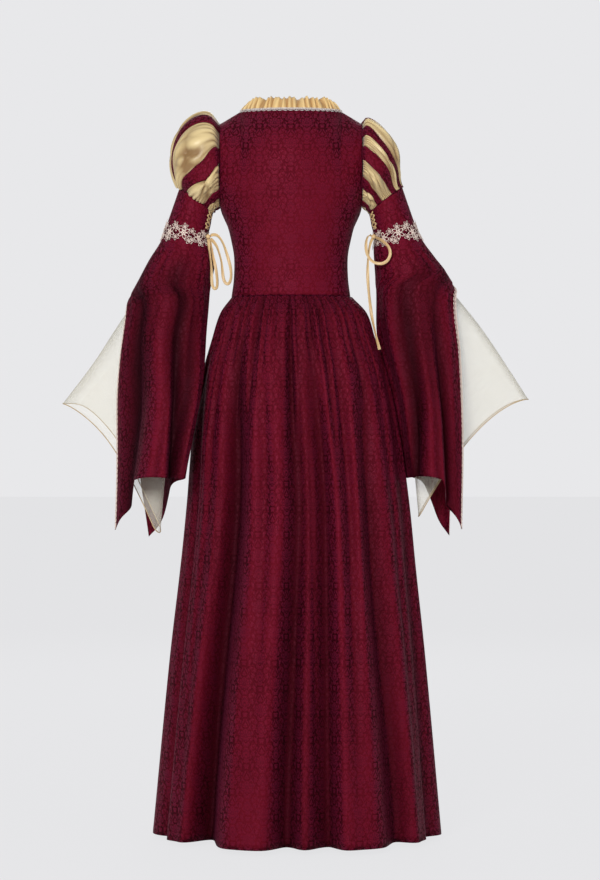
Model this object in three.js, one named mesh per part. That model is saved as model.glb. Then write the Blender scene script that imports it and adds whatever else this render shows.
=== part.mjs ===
// A renaissance dress as it is worn, hollow: a fitted bodice, a gathered skirt to the floor, gold
// shoulder puffs under brocade panes, laced upper sleeves with a lace band, long split bell sleeves
// and sheer inner sleeves.
// Millimetres. +X is the wearer's left, -Y the front, +Z up. The origin is midway between the
// shoulder points, at the height of the shoulder line, where the wearer carries the dress.
import * as THREE from "three";

const { degToRad: rad, lerp: mix, smoothstep: ease, clamp } = THREE.MathUtils;
const vec = (x, y, z) => new THREE.Vector3(x, y, z);

// ---- Driving dimensions ----
const CLOTH = { brocade: 1.6, satin: 1.1, sheer: 1.0, frill: 1.0, trim: 1.2, lace: 1.6, ribbon: 0.8 };
const SEAM = 0.3; // gap between two pieces at a seam, and under a piece that lies on another
const WAIST_Z = -350;
const HEM_Z = -1390;
const NECK = { x: 98, shoulderZ: 12, backY: 58, backZ: 10, frontY: 112, frontZ: -112 };
const ARMHOLE = { x: 138, z: -93, height: 81, depth: 55 };
const PUFF_END = { x: 184, z: -160, radius: 41, tilt: 36 };
const CUFF = { x: 205, z: -230, radius: 43, tilt: 12 }; // seam of upper sleeve and bell sleeve
const RUFFLE = { height: 28, waves: 56, wave: 3.2, lean: -0.75 };

// ---- Tables ----
// A table is a list of rows with named columns. read() gives every column at a key between rows,
// on a smooth curve through them. The first column is the key.
const table = (names, ...rows) =>
  rows.map((row) => Object.fromEntries(names.map((name, i) => [name, row[i]])));

function read(rows, at) {
  const [key, ...names] = Object.keys(rows[0]);
  const last = rows.length - 1;
  let i = 0;
  while (i < last - 1 && at > rows[i + 1][key]) i++;
  const span = rows[i + 1][key] - rows[i][key];
  const t = clamp((at - rows[i][key]) / span, 0, 1);
  const slope = (j, name) => {
    const before = rows[Math.max(j - 1, 0)];
    const after = rows[Math.min(j + 1, last)];
    return (after[name] - before[name]) / (after[key] - before[key]);
  };
  const value = (name) =>
    rows[i][name] * (1 + 2 * t) * (1 - t) ** 2 +
    rows[i + 1][name] * t * t * (3 - 2 * t) +
    slope(i, name) * span * t * (1 - t) ** 2 -
    slope(i + 1, name) * span * t * t * (1 - t);
  return Object.fromEntries(names.map((name) => [name, value(name)]));
}

// ---- Walls of cloth ----
const steps = (count, from = 0, to = 1) =>
  Array.from({ length: count + 1 }, (_, i) => mix(from, to, i / count));

// A grid of points, one row for each of rowsAt and one point in it for each of colsAt.
const gridOf = (point, colsAt, rowsAt) => rowsAt.map((v) => colsAt.map((u) => point(u, v)));

// Unit normals of a grid, all on the side that faces away from its middle.
function normalsOf(grid, closed) {
  const cols = grid[0].length;
  const at = (r, c) =>
    grid[clamp(r, 0, grid.length - 1)][closed ? (c + cols) % cols : clamp(c, 0, cols - 1)];
  const normals = grid.map((row, r) =>
    row.map((_, c) => {
      const across = at(r, c + 1).clone().sub(at(r, c - 1));
      const down = at(r + 1, c).clone().sub(at(r - 1, c));
      return across.cross(down).normalize();
    }),
  );
  const middle = vec(0, 0, 0);
  grid.flat().forEach((p) => middle.addScaledVector(p, 1 / (grid.length * cols)));
  const outward = grid.flat().reduce(
    (sum, p, i) => sum + normals.flat()[i].dot(p.clone().sub(middle)),
    0,
  );
  if (outward < 0) normals.flat().forEach((n) => n.negate());
  return normals;
}

// Turns one row's or column's normals into the plane across an axis, so the wall ends in it.
const levelled = (normals, axis) => normals.forEach((n) => n.projectOnPlane(axis).normalize());

const moved = (grid, normals, distance) =>
  grid.map((row, r) => row.map((p, c) => p.clone().addScaledVector(normals[r][c], distance)));

// One closed solid from points and quads, turned so that its faces point out.
function solid(points, quads) {
  let triangles = quads.flatMap(([a, b, c, d]) => [[a, b, c], [a, c, d]]);
  const volume = triangles.reduce(
    (sum, [a, b, c]) => sum + points[a].dot(points[b].clone().cross(points[c])),
    0,
  );
  if (volume < 0) triangles = triangles.map(([a, b, c]) => [a, c, b]);
  const geometry = new THREE.BufferGeometry().setFromPoints(points);
  geometry.setIndex(triangles.flat());
  geometry.computeVertexNormals();
  return geometry;
}

// The wall between a grid of outer points and the same grid moved in by the cloth's thickness.
// closed joins the last column to the first. keep(row, column) says which cells are cloth.
function wall(grid, thickness, { closed = false, normals = normalsOf(grid, closed), keep } = {}) {
  const cols = grid[0].length;
  const cells = closed ? cols : cols - 1;
  const count = grid.length * cols;
  const index = (r, c) => r * cols + (c % cols);
  const inRange = (r, c) => r >= 0 && r < grid.length - 1 && (closed || (c >= 0 && c < cells));
  const isCloth = (r, c) => inRange(r, c) && (!keep || keep(r, (c + cells) % cells));
  const quads = [];
  const rim = (a, b) => quads.push([b, a, a + count, b + count]);
  for (let r = 0; r < grid.length - 1; r++) {
    for (let c = 0; c < cells; c++) {
      if (!isCloth(r, c)) continue;
      const corners = [index(r, c), index(r, c + 1), index(r + 1, c + 1), index(r + 1, c)];
      const [a, b, d, e] = corners;
      quads.push(corners, [a + count, e + count, d + count, b + count]);
      if (!isCloth(r - 1, c)) rim(a, b);
      if (!isCloth(r, c + 1)) rim(b, d);
      if (!isCloth(r + 1, c)) rim(d, e);
      if (!isCloth(r, c - 1)) rim(e, a);
    }
  }
  return solid([...grid.flat(), ...moved(grid, normals, -thickness).flat()], quads);
}

// A strip that lies on a wall: the wall's own outer points, moved out by the gap and its thickness.
const lyingOn = (grid, normals, thickness, options = {}) =>
  wall(moved(grid, normals, SEAM + thickness), thickness, { normals, ...options });

// ---- Materials and the group ----
const FINISH = {
  brocade: new THREE.MeshStandardMaterial({ color: 0x6e1028, roughness: 0.55 }),
  satin: new THREE.MeshStandardMaterial({ color: 0xdcb878, roughness: 0.35 }),
  organza: new THREE.MeshStandardMaterial({ color: 0xe6dcc6, roughness: 0.5 }),
  lace: new THREE.MeshStandardMaterial({ color: 0xc3a394, roughness: 0.6 }),
  braid: new THREE.MeshStandardMaterial({ color: 0xd8c8bc, roughness: 0.6 }),
};
const dress = new THREE.Group();

function add(name, geometry, finish) {
  const mesh = new THREE.Mesh(geometry, FINISH[finish]);
  mesh.name = name;
  dress.add(mesh);
}

// ---- Bodice ----
// u runs from -1 to 1 across a panel and v from 0 at the waist to 1 at the shoulder seam and
// neckline. ARM_V is where the side seam ends and the armhole starts, and NECK_U is where the
// shoulder seam ends and the neckline starts.
const ARM_V = 0.42;
const NECK_U = 0.6;
const PANEL = {
  back: { side: 1, neckZ: NECK.backZ, bust: 0 },
  front: { side: -1, neckZ: NECK.frontZ, bust: 11 },
};
const CENTRE_LINE = {
  back: table(["v", "depth"], [0, 82], [0.25, 87], [0.5, 99], [0.7, 103], [0.85, 92], [1, NECK.backY]),
  front: table(["v", "depth"], [0, 82], [0.25, 93], [0.5, 109], [0.75, 119], [0.9, 117], [1, NECK.frontY]),
};
// The side seam: half the body's width at a share of the way from the waist to the armhole.
const SIDE_SEAM = table(
  ["rise", "width"],
  [0, 116],
  [0.2, 111.5],
  [0.45, 111],
  [0.65, 117],
  [0.85, 126],
  [1, 138],
);
const BUST = { x: 70, z: -195, spreadX: 42, spreadZ: 55 };
// How far a level arc reaches round the body on each side, in degrees: at the waist and at the chest.
const ARC_REACH = { waist: 90, chest: 62, chestV: 0.75 };

// The edge of a panel: up the side seam, then round half of the armhole to the shoulder point.
function panelEdge(v, side) {
  if (v <= ARM_V) {
    const rise = v / ARM_V;
    const z = mix(WAIST_Z, ARMHOLE.z - ARMHOLE.height, rise);
    return vec(read(SIDE_SEAM, rise).width, (side * SEAM) / 2, z);
  }
  const turn = rad(180 * (1 - (v - ARM_V) / (1 - ARM_V)));
  const y = ARMHOLE.depth * Math.sin(turn) + SEAM / 2;
  return vec(ARMHOLE.x, side * y, ARMHOLE.z + ARMHOLE.height * Math.cos(turn));
}

// A level arc from edge to edge through the panel's centre line.
function panelArc(u, v, name) {
  const { side, neckZ } = PANEL[name];
  const edge = panelEdge(v, side);
  const centreY = read(CENTRE_LINE[name], v).depth;
  const centreZ = mix(WAIST_Z, neckZ, v);
  const toChest = ease(v, ARM_V - 0.1, ARC_REACH.chestV);
  const reach = rad(mix(ARC_REACH.waist, ARC_REACH.chest, toChest));
  const angle = reach * Math.abs(u);
  const bow = (Math.cos(angle) - Math.cos(reach)) / (1 - Math.cos(reach));
  return vec(
    (Math.sign(u) * edge.x * Math.sin(angle)) / Math.sin(reach),
    mix(edge.y, side * centreY, bow),
    mix(edge.z, centreZ, bow),
  );
}

// The top edge: the shoulder seam outside NECK_U, and the neckline inside it.
function panelTop(u, name) {
  const { side } = PANEL[name];
  const tip = panelEdge(1, side);
  const neckPoint = vec(NECK.x, (side * SEAM) / 2, NECK.shoulderZ);
  const out = Math.abs(u);
  const sign = Math.sign(u) || 1;
  if (out >= NECK_U) {
    const p = neckPoint.lerp(tip, (out - NECK_U) / (1 - NECK_U));
    return p.setX(p.x * sign);
  }
  const turn = rad(90 * (1 - out / NECK_U));
  if (name === "back") {
    const drop = Math.sin(turn);
    return vec(sign * NECK.x * Math.cos(turn), NECK.backY * drop, mix(NECK.shoulderZ, NECK.backZ, drop));
  }
  const drop = Math.sin(turn) ** 0.75;
  const x = NECK.x * Math.cos(turn) ** 0.6;
  return vec(sign * x, -NECK.frontY * drop ** 0.6, mix(NECK.shoulderZ, NECK.frontZ, drop));
}

function bodicePoint(u, v, name) {
  const p = panelArc(u, v, name);
  const toTop = panelTop(u, name).sub(panelArc(u, 1, name));
  p.addScaledVector(toTop, ease(v, 0.5, 1) ** 1.3);
  const { side, bust } = PANEL[name];
  const acrossX = (Math.abs(p.x) - BUST.x) / BUST.spreadX;
  const acrossZ = (p.z - BUST.z) / BUST.spreadZ;
  p.y += side * bust * Math.exp(-(acrossX ** 2) - acrossZ ** 2);
  p.z += (SEAM / 2) * (1 - v);
  return p;
}

const BODICE_COLS = steps(20, -1, 1);
const BODICE_ROWS = [0, 0.14, 0.28, ARM_V, 0.53, 0.64, 0.75, 0.86, 0.95, 0.985, 1];
const topRow = BODICE_ROWS.length - 1;
const inNeck = (c) => Math.abs(BODICE_COLS[c]) <= NECK_U + 1e-6;
const ACROSS = vec(0, 1, 0); // the axis that the side and shoulder seams' edges are cut across
const bodice = {};
for (const name of ["back", "front"]) {
  const grid = gridOf((u, v) => bodicePoint(u, v, name), BODICE_COLS, BODICE_ROWS);
  const normals = normalsOf(grid, false);
  const sideSeam = normals.slice(0, BODICE_ROWS.indexOf(ARM_V) + 1);
  levelled(sideSeam.flatMap((row) => [row.at(0), row.at(-1)]), ACROSS);
  levelled(normals[topRow].filter((_, c) => Math.abs(BODICE_COLS[c]) >= NECK_U - 1e-6), ACROSS);
  const armholeEdge = normals.slice(BODICE_ROWS.indexOf(ARM_V) + 1);
  levelled(armholeEdge.flatMap((row) => [row.at(0), row.at(-1)]), vec(1, 0, 0));
  levelled(normals[0], vec(0, 0, 1));
  bodice[name] = { grid, normals };
  add("bodice_" + name, wall(grid, CLOTH.brocade, bodice[name]), "brocade");
}

// ---- Neckline: ruffle and braid ----
// The neckline's outer points run once round: across the back, then across the front.
const neckColumns = BODICE_COLS.map((_, c) => c).filter(inNeck);
const neckLoop = [
  ...neckColumns.map((c) => bodice.back.grid[topRow][c]),
  ...neckColumns.toReversed().map((c) => bodice.front.grid[topRow][c]),
].filter((p, i, all) => p.distanceTo(all[(i + 1) % all.length]) > 1);

// The point at a share of the way round the neckline, on its straight stretches.
const neckLengths = neckLoop.map((p, i) => p.distanceTo(neckLoop[(i + 1) % neckLoop.length]));
const neckLength = neckLengths.reduce((sum, length) => sum + length, 0);
function neckAt(share) {
  let rest = (((share % 1) + 1) % 1) * neckLength;
  let i = 0;
  while (i < neckLoop.length - 1 && rest > neckLengths[i]) rest -= neckLengths[i++];
  return neckLoop[i].clone().lerp(neckLoop[(i + 1) % neckLoop.length], rest / neckLengths[i]);
}

function rufflePoint(share, rise) {
  const base = neckAt(share);
  const along = neckAt(share + 0.01).sub(neckAt(share - 0.01));
  const out = vec(along.y, -along.x, 0).normalize();
  if (out.dot(vec(base.x, base.y, 0)) < 0) out.negate();
  const wave = Math.cos(2 * Math.PI * RUFFLE.waves * share);
  const inset = CLOTH.brocade / 2;
  const lean = RUFFLE.lean * RUFFLE.height * rise ** 1.4;
  const swing = wave * mix(0.5, RUFFLE.wave, rise) - inset + lean;
  return base.addScaledVector(out, swing).setZ(base.z + 3 * SEAM + rise * RUFFLE.height);
}
const ruffleCols = steps(RUFFLE.waves * 2).slice(0, -1);
const ruffle = gridOf(rufflePoint, ruffleCols, [0, 0.45, 1]);
const ruffleNormals = normalsOf(ruffle, true);
levelled(ruffleNormals[0], vec(0, 0, 1));
add("neck_ruffle", wall(ruffle, CLOTH.frill, { closed: true, normals: ruffleNormals }), "satin");

// The braid lies on each panel's top two rows of points, along the neckline.
for (const name of ["back", "front"]) {
  const atNeck = (rows) => rows.slice(-2).map((row) => neckColumns.slice(1, -1).map((c) => row[c]));
  const strip = lyingOn(atNeck(bodice[name].grid), atNeck(bodice[name].normals), CLOTH.trim);
  add("neck_braid_" + name, strip, "braid");
}

// ---- Skirt ----
// angle is 0 at the centre back, 90 at the wearer's left side and 180 at the centre front. drop is
// the distance below the waist. The table holds the outline of the ridges.
const SKIRT = table(
  ["drop", "half", "back", "front", "shift"],
  [0, 118, 84, 84, -2],
  [30, 143, 106, 102, -5],
  [80, 160, 128, 120, -6],
  [150, 182, 148, 138, -9],
  [265, 204, 174, 164, -12],
  [400, 219, 197, 187, -16],
  [520, 231, 213, 203, -16],
  [700, 251, 232, 224, -15],
  [1040, 283, 258, 250, -14],
);
// Each trough: its angle at the waist, at MID_DROP and at the hem, its depth at MID_DROP and the hem,
// and its widths in degrees to the greater and the smaller angle.
const MID_DROP = 350;
const TROUGHS = table(
  ["waist", "middle", "hem", "mid", "low", "wider", "narrower"],
  [79, 69, 71, 12, 24, 6, 5],
  [39, 33.5, 39.5, 46, 84, 9, 5.5],
  [22, 17, 20, 12, 0, 5, 4],
  [4, 0.5, 4.5, 30, 50, 6, 5],
  [-9, -13, -12, 34, 52, 8, 4],
  [-26, -26, -24, 22, 0, 4, 4],
  [-46, -38, -43, 24, 46, 5, 7],
  [-76, -70, -70, 12, 24, 6, 6],
  [104, 105, 106, 14, 30, 7, 6],
  [133, 135, 136, 24, 58, 9, 6],
  [160, 158, 157, 20, 44, 7, 6],
  [182, 183, 184, 26, 54, 7, 5],
  [209, 210, 211, 18, 40, 8, 5],
  [232, 233, 234, 26, 60, 7, 6],
  [266, 265, 264, 24, 26, 9, 6],
);
// How much a trough away from the sides goes towards the middle of the body, not straight in.
const INWARDS = { share: 0.25, from: 0.75 };
// The gathers at the waist: waves on each panel, their depth at the seam and a little below it, and
// the drops at which they are deep, start to fade and end.
const GATHERS = { waves: 22, seam: 3.4, deep: 7.5, deepAt: 45, fades: 60, ends: 330 };
const uneven = (n) => 0.7 + 0.3 * Math.sin(2.4 * n + 1.3 * Math.sin(1.7 * n));

function troughDepth(angle, drop) {
  const full = -HEM_Z + WAIST_Z;
  return TROUGHS.reduce((sum, t) => {
    const path =
      drop < MID_DROP
        ? mix(t.waist, t.middle, ease(drop, 0, MID_DROP))
        : mix(t.middle, t.hem, ease(drop, MID_DROP, full));
    const away = ((((angle - path) % 360) + 540) % 360) - 180;
    const width = away > 0 ? t.wider : t.narrower;
    const low = Math.max(0, (drop - MID_DROP) / (full - MID_DROP));
    const depth = mix(t.mid * ease(drop, 20, MID_DROP), t.low, low);
    return sum + depth * Math.exp(-((away / width) ** 2));
  }, 0);
}

function skirtPoint(angle, drop, name) {
  const { half, back, front, shift } = read(SKIRT, drop);
  const side = Math.sin(rad(angle));
  const fore = Math.cos(rad(angle));
  const x = half * side;
  const y = (fore > 0 ? back : front) * fore;
  const turns = (angle / 180) * GATHERS.waves;
  const fades = 1 - ease(drop, GATHERS.fades, GATHERS.ends);
  const height = mix(GATHERS.seam, GATHERS.deep, ease(drop, 0, GATHERS.deepAt)) * fades;
  const gather = height * uneven(Math.round(turns)) * (0.5 + 0.5 * Math.cos(2 * Math.PI * turns + Math.PI));
  const scale = 1 - gather / Math.hypot(x, y);
  const inwards = side * mix(INWARDS.share, 1, ease(Math.abs(side), INWARDS.from, 1));
  const deep = troughDepth(angle, drop) / Math.hypot(inwards, fore);
  const seam = name === "back" ? SEAM / 2 : -SEAM / 2;
  return vec(
    x * scale - deep * inwards + shift,
    y * scale - deep * fore + seam,
    WAIST_Z - SEAM / 2 - drop,
  );
}

const SKIRT_ROWS = [0, 14, 42, 90, 165, 270, 420, 600, 810, 1040];
const SKIRT_COLUMNS = 66;
const skirtFrom = { back: -90, front: 90 };
for (const name of ["back", "front"]) {
  const columns = steps(SKIRT_COLUMNS, skirtFrom[name], skirtFrom[name] + 180);
  const grid = gridOf((angle, drop) => skirtPoint(angle, drop, name), columns, SKIRT_ROWS);
  const normals = normalsOf(grid, false);
  levelled(normals.flatMap((row) => [row.at(0), row.at(-1)]), ACROSS);
  levelled(normals[0], vec(0, 0, 1));
  add("skirt_" + name, wall(grid, CLOTH.brocade, { normals }), "brocade");
}

// ---- Sleeves ----
// A ring of the arm: angle 0 is its outer point, 90 its back and 180 its inner point, at the wearer's
// left. The right sleeve is mirrored.
function ringPoint(ring, angle, along = 0, radius = ring.radius) {
  const tilt = rad(ring.tilt);
  const out = radius * Math.cos(rad(angle));
  return vec(
    ring.x + out * Math.cos(tilt) + along * Math.sin(tilt),
    radius * Math.sin(rad(angle)),
    ring.z + out * Math.sin(tilt) - along * Math.cos(tilt),
  );
}

// The direction along the arm at a ring, away from the shoulder, and the direction out from its middle.
const ringAxis = ({ tilt }) => vec(Math.sin(rad(tilt)), 0, -Math.cos(rad(tilt)));
const ringRadial = (ring, angle) => ringPoint(ring, angle, 0, 1).sub(ringPoint(ring, angle, 0, 0));

// Each pane's angle at the armhole and at the puff's end.
const PANE_COLUMNS = ["top", "end"];
const PANES = {
  left: table(PANE_COLUMNS, [30, 14], [81, 50], [137, 126], [182, 180], [228, 230], [276, 290], [330, 334]),
  right: table(PANE_COLUMNS, [-3, -8], [36, 28], [76, 62], [118, 112], [158, 158], [212, 214], [286, 294]),
};
const PANE_HALF = 7; // degrees
// How far the puff stands out at its top, sides and underside, swells between panes and ripples
// where it is gathered. Its top swells along lift, in degrees above level at the armhole.
const PUFF = { out: { left: 46, right: 34 }, sides: 26, under: 3, swell: 17, ripple: 3, lift: 66 };

// The puff between the armhole and its end. top and end are a column's angles on the two rings,
// and fullness is 0 on a pane and 1 midway between two panes.
function puffPoint({ top, end, fullness, ripple }, v, side) {
  const armhole = vec(
    ARMHOLE.x + 2 * SEAM,
    ARMHOLE.depth * Math.sin(rad(top)),
    ARMHOLE.z + ARMHOLE.height * Math.cos(rad(top)),
  );
  const p = armhole.lerp(ringPoint(PUFF_END, end), v);
  const upper = Math.max(0, Math.cos(rad(mix(top, end, v))));
  const under = Math.max(0, -Math.cos(rad(mix(top, end, v))));
  const sideways = Math.sin(rad(mix(top, end, v)));
  const arc = Math.sin(Math.PI * v ** 0.7) ** mix(0.5, 1, v);
  const lift = rad(mix(PUFF.lift, 0, v));
  const out = (PUFF.out[side] * upper ** 0.8 + PUFF.under * under) * arc;
  const swell = PUFF.swell * fullness * (1 - 0.6 * under) * arc;
  const gather = ripple * PUFF.ripple * (1 - arc);
  const radial = vec(0, Math.sin(rad(top)), Math.cos(rad(top))).lerp(ringRadial(PUFF_END, end), v);
  const reach = out + swell * Math.max(upper, 0.3);
  const spread = PUFF.sides * (1 - 0.55 * under) * arc * Math.abs(sideways) ** 0.8;
  const y = Math.sign(sideways) * spread + swell * sideways;
  p.add(vec(reach * Math.cos(lift), y, reach * Math.sin(lift) * (1 - under)));
  return p.addScaledVector(radial, gather);
}

// The puff's columns: the two edges of each pane, and three between it and the next.
function puffColumns(panes) {
  return panes.flatMap((pane, i) => {
    const next = panes[(i + 1) % panes.length];
    const turn = i === panes.length - 1 ? 360 : 0;
    const from = { top: pane.top + PANE_HALF, end: pane.end + PANE_HALF };
    const to = { top: next.top + turn - PANE_HALF, end: next.end + turn - PANE_HALF };
    const between = [0, 0.27, 0.5, 0.73, 1].map((t, n) => ({
      top: mix(from.top, to.top, t),
      end: mix(from.end, to.end, t),
      fullness: Math.sin(Math.PI * t) ** 0.7,
      ripple: [0, 0.9, -0.9, 0.9, 0][n],
    }));
    const edge = { top: pane.top - PANE_HALF, end: pane.end - PANE_HALF, fullness: 0, ripple: 0 };
    return [edge, ...between.slice(0, -1)];
  });
}
const PUFF_ROWS = [0, 0.1, 0.26, 0.45, 0.64, 0.84, 1];

// The upper sleeve, from the puff's end down to the seam under the lace band.
function upperSleevePoint(angle, v) {
  const start = ringPoint(PUFF_END, angle, 2 * SEAM, PUFF_END.radius - 0.5);
  return start.lerp(ringPoint(CUFF, angle, -SEAM, CUFF.radius - 0.4), v);
}

// The bell sleeve's level sections. v is 0 at the seam and 1 at the hem. A section is an ellipse
// turned about its centre, open between the split's two edges, which are angles on it.
const BELL = {
  left: table(
    ["v", "x", "y", "wide", "deep", "turn", "backEdge", "frontEdge"],
    [0, 205, 0, 42, 43, 0, -24.6, 334.6],
    [0.04, 204, 0, 51, 48, 0, -24.6, 334.6],
    [0.1, 212, 2, 63, 54, 0, -24, 335],
    [0.2, 230, 6, 74, 61, -6, -17, 342],
    [0.27, 242, 14, 84, 66, -14, 30, 322],
    [0.42, 249, 24, 90, 70, -24, 38, 323],
    [0.7, 258, 55, 108, 57, -45, 52, 328],
    [1, 268, 76, 108, 61, -60, 66, 322],
  ),
  right: table(
    ["v", "x", "y", "wide", "deep", "turn", "backEdge", "frontEdge"],
    [0, 205, 0, 42, 43, 0, -24.6, 334.6],
    [0.04, 210, 0, 49, 48, 0, -24.6, 334.6],
    [0.1, 223, 0, 60, 54, 0, -24, 335],
    [0.16, 236, 0, 71, 60, 0, -24, 335],
    [0.22, 246, -1, 80, 67, 0, 27, 325],
    [0.42, 253, -3, 84, 76, 3, 27, 318],
    [0.7, 270, -8, 72, 86, 5, 25, 305],
    [1, 278, -12, 62, 90, 6, 24, 296],
  ),
};
// The bell's hem: its height at a share of the way round from the split's back edge. Both corners
// hang low.
const BELL_HEM = table(
  ["u", "z"],
  [0, -801],
  [0.06, -770],
  [0.12, -742],
  [0.17, -704],
  [0.5, -702],
  [0.78, -706],
  [0.86, -740],
  [0.93, -790],
  [1, -817],
);
// The bell's deep folds: their share of the way round at the seam, their drift to the hem, depth and
// width.
const BELL_TROUGHS = {
  left: table(
    ["u", "drift", "deep", "width"],
    [0.115, -0.01, 17, 0.04],
    [0.29, 0.06, 28, 0.05],
    [0.47, 0, 12, 0.04],
    [0.64, 0, 16, 0.05],
    [0.83, 0, 14, 0.05],
  ),
  right: table(
    ["u", "drift", "deep", "width"],
    [0.14, -0.03, 24, 0.045],
    [0.28, 0.07, 14, 0.05],
    [0.46, 0.03, 15, 0.05],
    [0.65, 0, 14, 0.05],
    [0.83, 0, 13, 0.05],
  ),
};

const BELL_ROWS = [0, 0.04, 0.12, 0.2, 0.27, 0.4, 0.58, 0.78, 1];
const SPLIT_EDGE = 0.013; // the braid's share of the way round
const BELL_COLUMNS = [0, ...steps(30, SPLIT_EDGE, 1 - SPLIT_EDGE), 1];

function bellPoint(u, v, side) {
  const at = read(BELL[side], v);
  const angle = rad(mix(at.backEdge, at.frontEdge, u));
  const deep = BELL_TROUGHS[side].reduce(
    (sum, t) => sum + t.deep * Math.exp(-(((u - t.u - t.drift * v) / t.width) ** 2)),
    0,
  );
  const wide = Math.hypot(at.wide * Math.cos(angle), at.deep * Math.sin(angle));
  const scale = 1 - (deep * ease(v, 0.05, 0.75)) / wide;
  const out = vec(at.wide * Math.cos(angle) * scale, at.deep * Math.sin(angle) * scale, 0);
  out.applyAxisAngle(vec(0, 0, 1), rad(at.turn));
  const seamAngle = rad(mix(BELL[side][0].backEdge, BELL[side][0].frontEdge, u));
  const top = CUFF.z - SEAM + CUFF.radius * Math.cos(seamAngle) * Math.sin(rad(CUFF.tilt));
  return vec(at.x + out.x, at.y + out.y, mix(top, read(BELL_HEM, u).z, v));
}

// The lace band lies on the sleeves' own surfaces, above and below their seam. Its edges are petals,
// and it is cut through between flowers.
const LACE = { flowers: 9, columns: 4, petal: 6, lift: 0.5, above: 12, below: 14, middle: 6, turn: 5 };
const SLEEVE_LENGTH = { upper: 75, bell: 500 }; // along the cloth, at the lace band
function lacePoint(turn, row, side) {
  const angle = 360 * turn + LACE.turn;
  const step = Math.round(turn * LACE.flowers * LACE.columns) % LACE.columns;
  const petal = [0, LACE.petal, LACE.petal * 0.4, LACE.petal][step];
  const along = [-LACE.above - petal, -LACE.middle, LACE.middle, LACE.below + petal][row];
  const { backEdge, frontEdge } = BELL[side][0];
  const u = (((angle - backEdge) % 360) + 360) % 360 / (frontEdge - backEdge);
  const p =
    along < 0
      ? upperSleevePoint(angle, 1 + along / SLEEVE_LENGTH.upper)
      : bellPoint(clamp(u, 0, 1), along / SLEEVE_LENGTH.bell, side);
  return p.addScaledVector(ringRadial(CUFF, angle), SEAM + LACE.lift + CLOTH.lace);
}

// The sheer sleeve's rings hang from the top of the arm. top is the ring's highest point and low
// its lowest, round is its radius at the arm and flat its half depth where it hangs below.
const SHEER = {
  left: table(
    ["v", "topX", "topY", "topZ", "lowX", "lowY", "lowZ", "round", "flat", "curve"],
    [0, 245, 0, -224.2, 165, 0, -241.2, 40.9, 40.9, 1],
    [0.1, 244, -3, -259, 176, 3, -298, 33, 33, 1],
    [0.25, 284, -8, -325, 196, 6, -400, 27, 24, 1.05],
    [0.5, 335, -16, -404, 222, 35, -540, 26, 18, 1.2],
    [0.75, 381, -28, -477, 242, 56, -672, 26, 14, 1.45],
    [1, 442, -44, -556, 253, 70, -806, 25, 11, 1.75],
  ),
  right: table(
    ["v", "topX", "topY", "topZ", "lowX", "lowY", "lowZ", "round", "flat", "curve"],
    [0, 245, 0, -224.2, 165, 0, -241.2, 40.9, 40.9, 1],
    [0.1, 248, -2, -259, 176, -2, -298, 33, 33, 1],
    [0.25, 303, -5, -325, 196, -6, -400, 28, 24, 1.05],
    [0.5, 368, -13, -404, 220, -16, -530, 27, 20, 1.2],
    [0.75, 419, -25, -477, 238, -24, -655, 26, 16, 1.45],
    [1, 466, -40, -548, 250, -28, -778, 25, 13, 1.75],
  ),
};

const SHEER_ROWS = [0, 0.1, 0.25, 0.45, 0.7, 1];
const SHEER_FOLD = 5; // depth of the soft folds at the hem

function sheerPoint(turn, v, side) {
  const at = read(SHEER[side], v);
  const top = vec(at.topX, at.topY, at.topZ);
  const low = vec(at.lowX, at.lowY, at.lowZ);
  const share = (1 - Math.cos(2 * Math.PI * turn)) / 2;
  const length = top.distanceTo(low);
  const fromTop = share * length;
  const nearArm = Math.sqrt(Math.max(0, 1 - (1 - Math.min(1, fromTop / at.round)) ** 2));
  const nearEnd = Math.sqrt(Math.max(0, 1 - Math.max(0, 1 - (length - fromTop) / at.flat) ** 2));
  const body = mix(at.round, at.flat, ease(fromTop, at.round, length * 0.8));
  const across = vec(low.y - top.y, top.x - low.x, 0).normalize();
  const fold = SHEER_FOLD * v * Math.sin(3 * Math.PI * share) * Math.sin(Math.PI * share);
  const p = vec(mix(top.x, low.x, share), mix(top.y, low.y, share), mix(top.z, low.z, share ** at.curve));
  const reach = Math.sign(0.5 - turn) * body * Math.min(nearArm, nearEnd);
  return p.addScaledVector(across, reach + fold);
}

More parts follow.
